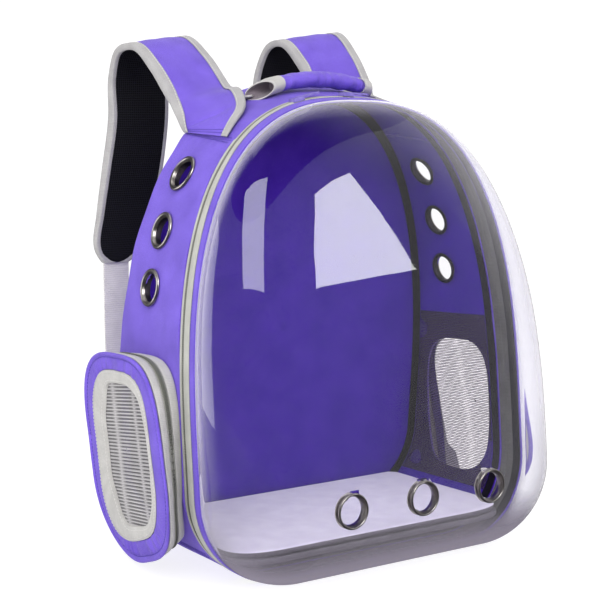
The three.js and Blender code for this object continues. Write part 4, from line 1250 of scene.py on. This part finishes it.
def addPouches():
    inside = (0, 0, 100)
    for side, sign in sides.items():
        name = f"pouch_{side}_"
        for band, (low, high) in pouchBands.items():
            if band == "zip":
                addPouchZip(side, sign, low, high)
            else:
                profile = crownedProfile(low, high, 3, 0.5, 0.6, 9)[:, ::-1]
                putPiece(name + band + "_cloth", pouchRing(sign, profile), paleTape, [name + band], "grey")
        putPiece(name + "face", facePart(sign), violetCloth, [name + "panel"], "violet")
        ringTape, under = windowBinding(sign)
        binding = putPiece(name + "binding", ringTape, [paleTape, paintedGlowTape], [name + "window_binding"],
                           "grey", pieceSlots=under)
        window = putPiece(name + "mesh", windowMesh(sign), [stripeMesh, paintedDaylightMesh],
                          [name + "window_mesh"], "mesh", faceFrom=inside, thick=0.7, innerSlot=1)
        lining = putPiece(f"inner_mesh_{side}", innerMeshPart(sign), darkMesh, [f"side_mesh_{side}"],
                          "dark_mesh", faceFrom=inside, thick=0.6)


addPouches()
print("pouches made")


# Carry handle

handle = {"y": 5.0, "top": 419.0, "fall": 0.0026, "halfWidth": 12.0, "halfThick": 6.9,
          "grip": {"left": 46.0, "right": 45.0}}
wrinkle = {"pitch": 0.62, "twist": 2.2, "depth": 0.028, "nearCuff": 0.055, "under": 0.045, "underPitch": 0.29}
cuff = {"short": {"left": 12.5, "right": 6.0}, "long": {"left": 12.5, "right": 8.0},
        "droop": {"left": 2.0, "right": 9.0}, "skin": 1.1, "turn": 15}
# Tab's path on the left: out of the tube, back and down on to the panel beside the strap. The right one
# starts sooner
tab = {"half": 7.5, "thick": 1.8, "rightStart": (-51, 9, 406.0),
       "path": [(-59, 12, 404.9), (-63, 15, 403.9), (-66, 18, 403.1), (-69, 22, 402.6), (-71, 25, 402.4)]}


def handleHeight(x):
    return handle["top"] - handle["fall"] * x * x


# Padded roll: ellipses along the arch, wrinkled by slanted sine folds that deepen towards the cuffs and
# underneath
def gripPart():
    left, right = handle["grip"]["left"], handle["grip"]["right"]
    x = np.linspace(-left - 1, right + 1, 170)[:, None]
    angle = around(72)[None, :]
    tight = (np.abs(x) / np.where(x < 0, left, right)) ** 4
    slanted = np.sin(x * wrinkle["pitch"] + wrinkle["twist"] * np.cos(angle) + 1.5 * np.sin(x * 0.13))
    below = np.sin(x * wrinkle["underPitch"] - 1.7 * np.sin(angle)) * np.clip(-np.sin(angle) + 0.5, 0, 1)
    folds = slanted * (wrinkle["depth"] + wrinkle["nearCuff"] * tight) + wrinkle["under"] * below
    size = 1 + 0.04 * (1 - tight) - 0.10 * tight + folds
    y = handle["y"] + handle["halfWidth"] * size * np.cos(angle)
    z = handleHeight(x) + handle["halfThick"] * size * np.sin(angle)
    return tubeSurface(pointsOf(x, y, z))


# Cuff: a tape tube whose open end is cut on the slant, longest at the rear, so that it gapes, with two
# skins. Also which of its faces are on the inner skin
def cuffPart(side):
    sign, start = sides[side], handle["grip"][side]
    t = np.linspace(0, 1, 26)[:, None]
    angle = around(64)[None, :]
    slant = 0.5 + 0.5 * np.cos(angle + math.radians(cuff["turn"]))
    x = start - 2 + (cuff["short"][side] + cuff["long"][side] * slant) * t
    past = np.clip((x - start - 9) / 18, 0, 1)
    half = handle["halfWidth"] + 0.6 + 2.0 * t - 3.0 * past
    thick = handle["halfThick"] + 0.7 + 0.4 * t - 1.2 * past
    skins = []
    for shrink in (0, cuff["skin"]):
        y = handle["y"] + 3 * past + (half - shrink) * np.cos(angle)
        z = handleHeight(x) - cuff["droop"][side] * past + (thick - shrink) * np.sin(angle)
        skins.append(pointsOf(sign * x, y, z))
    points = np.concatenate([skins[0], skins[1][::-1]])
    rows, cols = points.shape[:2]
    inner = (np.arange(rows) >= rows // 2) & (np.arange(rows) < rows - 1)
    return ringSurface(points), np.repeat(inner, cols)


# Smooth curve through rows: Hermite pieces whose slopes weigh the two neighbouring chords by length
def smoothRows(rows, steps):
    chord = np.linalg.norm(np.diff(rows[:, :6], axis=0), axis=1)
    slope = np.diff(rows, axis=0) / chord[:, None]
    inner = (slope[:-1] * chord[1:, None] + slope[1:] * chord[:-1, None]) / (chord[1:] + chord[:-1])[:, None]
    tangent = np.concatenate([slope[:1], inner, slope[-1:]])
    place = np.linspace(0, len(rows) - 1, (len(rows) - 1) * steps + 1)
    i = np.minimum(place.astype(int), len(rows) - 2)
    t = (place - i)[:, None]
    long = chord[i][:, None]
    values = (2 * t ** 3 - 3 * t ** 2 + 1) * rows[i] + (-2 * t ** 3 + 3 * t ** 2) * rows[i + 1]
    slopes = (t ** 3 - 2 * t ** 2 + t) * tangent[i] + (t ** 3 - t ** 2) * tangent[i + 1]
    return values + long * slopes, place


# Flat tape along a path: a rounded rectangle whose width lies along across and whose thickness along out
def tapeAlong(path, across, out, half, thick, radius):
    profile = roundRect(-half, half, -thick / 2, thick / 2, radius)
    points = path[:, None] + profile[None, :, :1] * across[:, None] + profile[None, :, 1:] * out[:, None]
    return tubeSurface(points)


# Tab: a flat tape along its path, its width level and square to the path
def tabPart(sign):
    way = np.array(tab["path"][1:] if sign < 0 else [tab["rightStart"]] + tab["path"], float)
    rows, _ = smoothRows(np.concatenate([way, way], 1), 8)
    path = rows[:, :3] * (sign * -1, 1, 1)
    along = unit(np.gradient(path, axis=0))
    across = unit(np.cross(along, (0, 0, 1.0)))
    return tapeAlong(path, across, np.cross(across, along), tab["half"], tab["thick"], 0.6)


def addHandle():
    roll = gripPart()
    faces = sum(len(ids) for ids, _ in roll[1])
    grip = putPiece("handle_roll", roll, [violetCloth, tubeLining], ["handle_grip"], "violet",
                    pieceSlots=np.arange(faces) >= faces - 2)
    for side, sign in sides.items():
        tube, skins = cuffPart(side)
        putPiece(f"handle_cuff_{side}_tube", tube, [paleTape, tubeLining], [f"handle_cuff_{side}"], "grey",
                 pieceSlots=skins)
        putPiece(f"handle_tab_{side}_tape", tabPart(sign), paleTape, [f"handle_tab_{side}"], "grey")


addHandle()
print("handle made")


# Shoulder straps. Rows as the solids have them: centre, half width, how far the outer edge stands
# forward, how much the edge on the +X side is higher, share of the strap's own rise, pad thickness

strapRows = np.array([
    (81, 78, 406, 33, 0, 8, 0.2, 5.5), (83, 107, 433.5, 33, 6, 10, 0.7, 5), (85, 142, 454, 33, 10, 10, 1, 4),
    (86, 167, 450, 33, 8, 8, 1, 4), (84, 183, 426.5, 33, 6, 4, 0.8, 5), (83, 187, 385, 32, 6, 0, 0.4, 7),
    (90, 188, 335, 32, 4, 0, 0, 7), (99, 187, 294, 30, 2, 0, 0, 6), (109, 184, 264, 25, 0, 0, 0, 5),
    (113, 181, 248, 17, 0, 0, 0, 4)], float)
strapRise = {"left": 0, "right": 9}
# Foot on the top panel: station and depth of the inner edge, height over the panel, share of the way from
# the seam's corner to the first free row for the outer edge, thickness
strapFoot = np.array([
    (3.626, 0.67, 1.4, 0.0, 0.9), (3.678, 0.64, 2.2, 0.12, 2.25), (3.735, 0.58, 2.8, 0.25, 3),
    (3.79, 0.385, 3.2, 0.42, 3), (3.822, 0.19, 3.6, 0.62, 3)])
strap = {"footCorner": (3.612, 0.012), "cornerLift": 1.2, "steps": 12, "linedFrom": 5.5, "endNarrows": 0.24,
         "binding": 9.0, "bindingUnder": 4.6, "fold": 1.3, "lining": 2.8, "proud": 0.6, "under": 3.4,
         "tuckedIn": 1.2}
crease = {"depth": 1.3, "start": 1.0, "slant": 1.7, "width": 0.22}
edges = {"outer": 1, "inner": -1}


# Sections of a strap: outer and inner edge, direction across, direction out of the purple face, pad
# thickness, place along the rows, and how free of the foot it is
def strapSections(side):
    sign = sides[side]
    x, y, z, half, forward, tip, rise, thick = strapRows.T
    centre = z + rise * strapRise[side]
    outer = np.stack([sign * (x + half), y - forward / 2, centre + sign * tip / 2], 1)
    inner = np.stack([sign * (x - half), y + forward / 2, centre - sign * tip / 2], 1)
    cornerU, cornerV = strap["footCorner"]
    corner = wallPoint(sign * cornerU, cornerV) + wallNormal(sign * cornerU, cornerV) * strap["cornerLift"]
    u, v, lift, share, footThick = strapFoot.T
    footInner = wallPoint(sign * u, v) + wallNormal(sign * u, v) * lift[:, None]
    footOuter = corner + (outer[0] - corner) * share[:, None]
    foot = np.concatenate([footOuter, footInner, footThick[:, None]], 1)
    rows = np.concatenate([foot, np.concatenate([outer, inner, thick[:, None]], 1)])
    smooth, place = smoothRows(rows, strap["steps"])
    outer, inner, thick = smooth[:, :3], smooth[:, 3:6], smooth[:, 6]
    ending = np.clip(1 - (place[-1] - place) / 0.9, 0, 1)[:, None]
    narrow = strap["endNarrows"] * (1 - np.sqrt(1 - ending ** 2))
    middle = (outer + inner) / 2
    outer, inner = (edge + (middle - edge) * narrow for edge in (outer, inner))
    across = unit(inner - outer)
    along = np.gradient((outer + inner) / 2, axis=0)
    out = unit(np.cross(along, across)) * sign
    free = np.clip((place - 3.5) / 2, 0, 1)
    return {"outer": outer, "inner": inner, "across": across, "out": out, "thick": thick, "place": place,
            "free": free}


# A profile carried along a strap: (a, b) goes to edge + a * across + b * out, with a and b arrays (rows,
# points)
def strapSweep(cut, edge, a, b, rows=slice(None)):
    across, out = cut["across"][rows, None], cut["out"][rows, None]
    points = cut[edge][rows, None] + a[rows, :, None] * across + b[rows, :, None] * out
    return tubeSurface(points)


# Shares t of the width between two tapes, out along the upper face and back along the lower one
def betweenTapes(width, tape, t):
    low, high = (tape - strap["tuckedIn"])[:, None], (width - tape + strap["tuckedIn"])[:, None]
    return low + (high - low) * np.concatenate([t, t[::-1]])[None]


# Pad: upper face crowned as 1 - (2t - 1)^4, with one slanted crease near the foot, over a flat underside.
# Lining: air mesh that bulges under the pad. Bindings: a tape folded round each edge, half an ellipse in
# section. Towards the strap's end the tapes widen as a quarter circle until they meet
def addStrap(side):
    cut = strapSections(side)
    width = np.linalg.norm(cut["inner"] - cut["outer"], axis=1)
    thick, place = cut["thick"][:, None], cut["place"][:, None]
    free = cut["free"][:, None]
    full = np.clip(thick / 7, 0.5, 1)
    near = np.clip(1 - (cut["place"][-1] - cut["place"]) / 0.62, 0, 1)
    rounded = 1 - np.sqrt(1 - near ** 2)
    tapes = (strap["binding"], strap["bindingUnder"])
    wrap, wrapUnder = (tape + rounded * (width / 2 - tape - 0.6) for tape in tapes)
    t = np.linspace(0, 1, 15)
    crown = 1 - np.abs(2 * t - 1) ** 4
    inside = np.clip(t * 8, 0, 1) * np.clip((0.95 - t) * 8, 0, 1)
    valley = np.exp(-((place - crease["start"] - crease["slant"] * t) / crease["width"]) ** 2) * inside
    wave = -crease["depth"] * valley + 0.35 * unevenness(place * 30, t[None] * 60, 40, 80) * free
    top = thick - 0.6 + (0.4 + 1.3 * free) * crown + wave
    b = np.concatenate([top, 0 * top], 1)
    cover = strapSweep(cut, "outer", betweenTapes(width, wrap, t), b)
    pad = putPiece(f"strap_{side}_pad_cloth", cover, violetCloth, [f"strap_{side}_pad"], "violet")
    b = np.concatenate([0 * top - 0.2, -(strap["lining"] + 1.0 * crown[::-1]) * full], 1)
    lined = slice(int(strap["linedFrom"] * strap["steps"]), None)
    lining = strapSweep(cut, "outer", betweenTapes(width, wrapUnder, t), b, lined)
    putPiece(f"strap_{side}_air_mesh", lining, airMesh, [f"strap_{side}_lining"], "black")
    turn = np.linspace(math.pi / 2, 3 * math.pi / 2, 9)
    under = strap["under"] * np.clip(free, 0.05, 1) * full
    over = thick + strap["proud"]
    middle, half = (over - under) / 2, (over + under) / 2
    curve = np.minimum(half, strap["fold"]) * (1 + np.cos(turn))
    wrap, wrapUnder = wrap[:, None], wrapUnder[:, None]
    a = np.concatenate([wrap, wrap * 0.55, curve, wrapUnder * 0.6, wrapUnder], 1)
    b = np.concatenate([over - 0.3, over, middle + half * np.sin(turn), -under, -under + 0.3], 1)
    for edge, way in edges.items():
        putPiece(f"strap_{side}_{edge}_tape", strapSweep(cut, edge, way * a, b), shadedStrapTape,
                 [f"strap_{side}_binding_{edge}"], "grey")
    addWebbing(side, cut)


webbing = {"half": 13.5, "thick": 1.8, "gap": 0.3, "hang": 160.0, "leave": (0, 70.0, 25.0), "footX": 126.0,
           "low": 26.0, "high": 46.0, "tuckedUp": 3.0}


# Webbing: a cubic curve that hangs from the strap's end and turns in to the back panel, then straight
# down as its foot
def addWebbing(side, cut):
    start = (cut["outer"][-1] + cut["inner"][-1]) / 2 + cut["out"][-1] * cut["thick"][-1] / 2
    start = start + (0, 0, webbing["tuckedUp"])
    x, y = sides[side] * webbing["footX"], body["halfDepth"] + webbing["gap"] + webbing["thick"] / 2
    foot, end = (np.array([x, y - body["lean"] * z, z]) for z in (webbing["high"], webbing["low"]))
    hung, leaving = start - (0, 0, webbing["hang"]), foot + webbing["leave"]
    t = np.linspace(0, 1, 90)[:, None]
    line = (1 - t) ** 3 * start + 3 * t * (1 - t) ** 2 * hung + 3 * t ** 2 * (1 - t) * leaving + t ** 3 * foot
    line = np.concatenate([line, foot + (end - foot) * np.linspace(0.1, 1, 10)[:, None]])
    across = np.repeat([[1.0, 0, 0]], len(line), 0)
    out = unit(np.cross(across, np.gradient(line, axis=0)))
    tape = tapeAlong(line, across, out, webbing["half"], webbing["thick"], 0.7)
    putPiece(f"strap_{side}_webbing_tape", tape, paleWebbing, [f"strap_{side}_webbing"], "grey")


for strapSide in sides:
    addStrap(strapSide)
print("straps made")


# Stitches

stitch = {"length": 2.3, "radius": 0.42, "pitch": 3.2, "borderPitch": 2.9, "besideSeam": (-2.6, 2.6),
          "border": {1.5: 0.0, 9.0: border["topWiden"]}, "back": 13.0, "binding": 1.5, "footSections": (3, 6),
          "webbing": ((30, 30, -11, 11), (42, 42, -11, 11), (30, 42, -11, -11), (30, 42, 11, 11))}


# A row of stitches: small capsules spaced evenly along a path, lying on the side that out points to
def stitchRow(path, out, closed=False, pitch=stitch["pitch"]):
    out = np.broadcast_to(out, path.shape)
    if closed:
        path, out = (np.concatenate([rows, rows[:1]]) for rows in (path, out))
    run = runLength(path, False) * 10
    at = (np.arange(int(run[-1] / pitch)) + 0.5) * pitch
    origin, heading, normal = (np.stack([np.interp(at, run, rows[:, k]) for k in range(3)], 1)
                               for rows in (path, np.gradient(path, axis=0), out))
    heading = unit(heading)
    across = unit(np.cross(normal, heading))
    thread = capsule(stitch["length"], stitch["radius"])
    return copies(thread, origin, heading, across, np.cross(heading, across))


# Rows on the wall: beside the seams, and round the front border
def wallRows():
    rows = []
    for sign in sides.values():
        for seam in (body["shoulderSeam"], body["baseSeam"]):
            for beside in stitch["besideSeam"]:
                u = sign * stationAt(arcAt(seam) + beside) + np.zeros(80)
                depth = np.linspace(5, float(wallSpan(u[0])) - wall["front"] - 3, 80)
                out = wallNormal(u, depth / wallSpan(u))
                rows.append(stitchRow(fromBack(u, depth) + out * 0.25, out))
    u = loopStations(700)
    for near, widen in stitch["border"].items():
        path = fromRim(u, near + widen * towardsTop(u), 0.1)
        rows.append(stitchRow(path, wallNormal(u, 0.99 + 0 * u), closed=True, pitch=stitch["borderPitch"]))
    return rows


# Row round the outside of the back panel
def backRow():
    x, z = archPoint(backArch, loopStations(600), stitch["back"])
    path = pointsOf(x, body["halfDepth"] - body["lean"] * z + 0.1, z)
    return stitchRow(path, (0, 1.0, body["lean"]), closed=True)


# Row round a pouch's face at an inset and a height
def pouchRow(sign, angle, inset, height):
    path = pouchPoint(sign, angle, inset, height)
    out = unit(pouchPoint(sign, angle, 6, height + 1) - pouchPoint(sign, angle, 6, height))
    return stitchRow(path, out, closed=True)


# Rows along both bindings of a strap
def bindingRows(cut):
    rows = []
    for edge, way in edges.items():
        path = cut[edge] + way * (strap["binding"] - stitch["binding"]) * cut["across"]
        path = path + (cut["thick"] + strap["proud"] - 0.1)[:, None] * cut["out"]
        rows.append(stitchRow(path[2:-6], cut["out"][2:-6]))
    return rows


# Rows across the foot of a strap
def footRows(cut):
    share = np.linspace(0.03, 0.97, 60)[:, None]
    rows = []
    for i in stitch["footSections"]:
        outer, inner, out = cut["outer"][i], cut["inner"][i], cut["out"][i]
        rows.append(stitchRow(outer + (inner - outer) * share + out * (cut["thick"][i] - 0.1), out))
    return rows


# Four rows that box the foot of the webbing, each from (left, low) to (right, high)
def webbingRows(side):
    face = body["halfDepth"] + webbing["gap"] + webbing["thick"]
    t = np.linspace(0, 1, 30)
    rows = []
    for low, high, left, right in stitch["webbing"]:
        z = low + (high - low) * t
        x = sides[side] * webbing["footX"] + left + (right - left) * t
        rows.append(stitchRow(pointsOf(x, face + 0.1 - body["lean"] * z, z), (0, 1.0, body["lean"])))
    return rows


def addStitches():
    violetRows, paleRows = wallRows() + [backRow()], []
    angle = around(400)
    for side, sign in sides.items():
        cut = strapSections(side)
        violetRows.append(pouchRow(sign, angle, pouchFace["groove"], 24.2))
        violetRows += footRows(cut)
        paleRows.append(pouchRow(sign, angle, panelEdge(angle) + 1.8, 25.1))
        paleRows.append(pouchRow(sign, angle, windowEdge(angle) - 1.9, 25.0))
        paleRows += bindingRows(cut) + webbingRows(side)
    putPiece("violet_stitches", joined(violetRows), violetThread, slot="violet")
    putPiece("pale_stitches", joined(paleRows), paleThread, slot="grey")


addStitches()
print("stitches made")


# Zip sliders keep their solids and take a painted finish
for sliderName in ("zip_slider_left", "zip_slider_right"):
    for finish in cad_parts[sliderName].material_slots:
        finish.material = lilacPaint


# Stage: a pale round floor that curves up far away, soft lights. A lamp shows on cloth, as gloss, or both

stage = {"flat": 2600.0, "bend": 1400.0, "wall": 2600.0, "stations": 96}
room = {"strength": 0.48, "glossDrop": -0.45}
lampTarget = (0, 0, 200)
lamps = {
    "keyLight": {"place": (-1500, -1300, 1900), "size": (1100, 1100), "power": 18, "shows": "cloth"},
    "leftLight": {"place": (-1900, -700, 600), "size": (1200, 1200), "power": 13, "shows": "cloth"},
    "fillLight": {"place": (1700, -1500, 900), "size": (900, 1200), "power": 6, "shows": "cloth"},
    "topLight": {"place": (0, 300, 2300), "size": (1600, 1600), "power": 11, "shows": "both"},
    "frontLight": {"place": (-420, -1236, 1255), "size": (640, 860), "power": 8, "shows": "cloth"},
    "paneLight": {"place": (-590, -1120, 1290), "size": (860, 860), "power": 22, "shows": "gloss"},
    "windowLight": {"place": (854, -1213, 966), "size": (215, 510), "power": 5.4, "shows": "gloss"},
    "stripLight": {"place": (-1415, 895, 454), "size": (700, 1150), "power": 11, "shows": "gloss"},
    "edgeLight": {"place": (1620, -330, 260), "size": (2100, 1700), "power": 3.5, "shows": "gloss"},
    "rearLight": {"place": (900, 1140, 1000), "size": (1400, 900), "power": 6, "shows": "gloss"},
}


# Profile turned about Z: flat floor, quarter round, upright wall
def addStage():
    turn = np.linspace(0, math.pi / 2, 20)[1:]
    radius = np.concatenate([np.linspace(1, stage["flat"], 16), stage["flat"] + stage["bend"] * np.sin(turn)])
    height = np.concatenate([np.zeros(16), stage["bend"] * (1 - np.cos(turn))])
    radius = np.append(radius, radius[-1])[:, None]
    height = np.append(height, height[-1] + stage["wall"])[:, None]
    angle = around(stage["stations"])[None, :]
    points = pointsOf(radius * np.cos(angle), radius * np.sin(angle), height)
    part, groups = surface(points, closeCols=True)
    faces = [face for ids, _ in groups for face in ids.tolist()]
    faces.append(list(range(stage["stations"])))
    mesh = bpy.data.meshes.new("stageFloor")
    mesh.from_pydata(part * mm, [], faces)
    mesh.uv_layers.new(name="cloth")
    mesh.polygons.foreach_set("use_smooth", np.ones(len(mesh.polygons), bool))
    mesh.materials.append(floorMaterial())
    floor = bpy.data.objects.new("stageFloor", mesh)
    scene.collection.objects.link(floor)
    floor.visible_glossy = False


def addLamps():
    for name, lamp in lamps.items():
        data = bpy.data.lights.new(name, "AREA")
        data.shape = "RECTANGLE"
        data.size, data.size_y = (side * mm for side in lamp["size"])
        data.energy = lamp["power"]
        lampObject = bpy.data.objects.new(name, data)
        lampObject.visible_glossy = lamp["shows"] != "cloth"
        lampObject.visible_diffuse = lamp["shows"] != "gloss"
        lampObject.visible_transmission = False
        aimAt(lampObject, lamp["place"], lampTarget)


# White surroundings that mirror only faintly in glossy pieces
def addWorld():
    world = bpy.data.worlds.new("softRoom")
    world.use_nodes = True
    tree = world.node_tree
    sky = tree.nodes["Background"].inputs
    sky[0].default_value = (1, 1, 1, 1)
    glossy = addNode(tree, "ShaderNodeLightPath").outputs["Is Glossy Ray"]
    tree.links.new(scaleAdd(tree, glossy, room["glossDrop"], room["strength"]), sky[1])
    scene.world = world
    scene.view_settings.view_transform = "Standard"


addStage()
addLamps()
addWorld()
print("stage made")
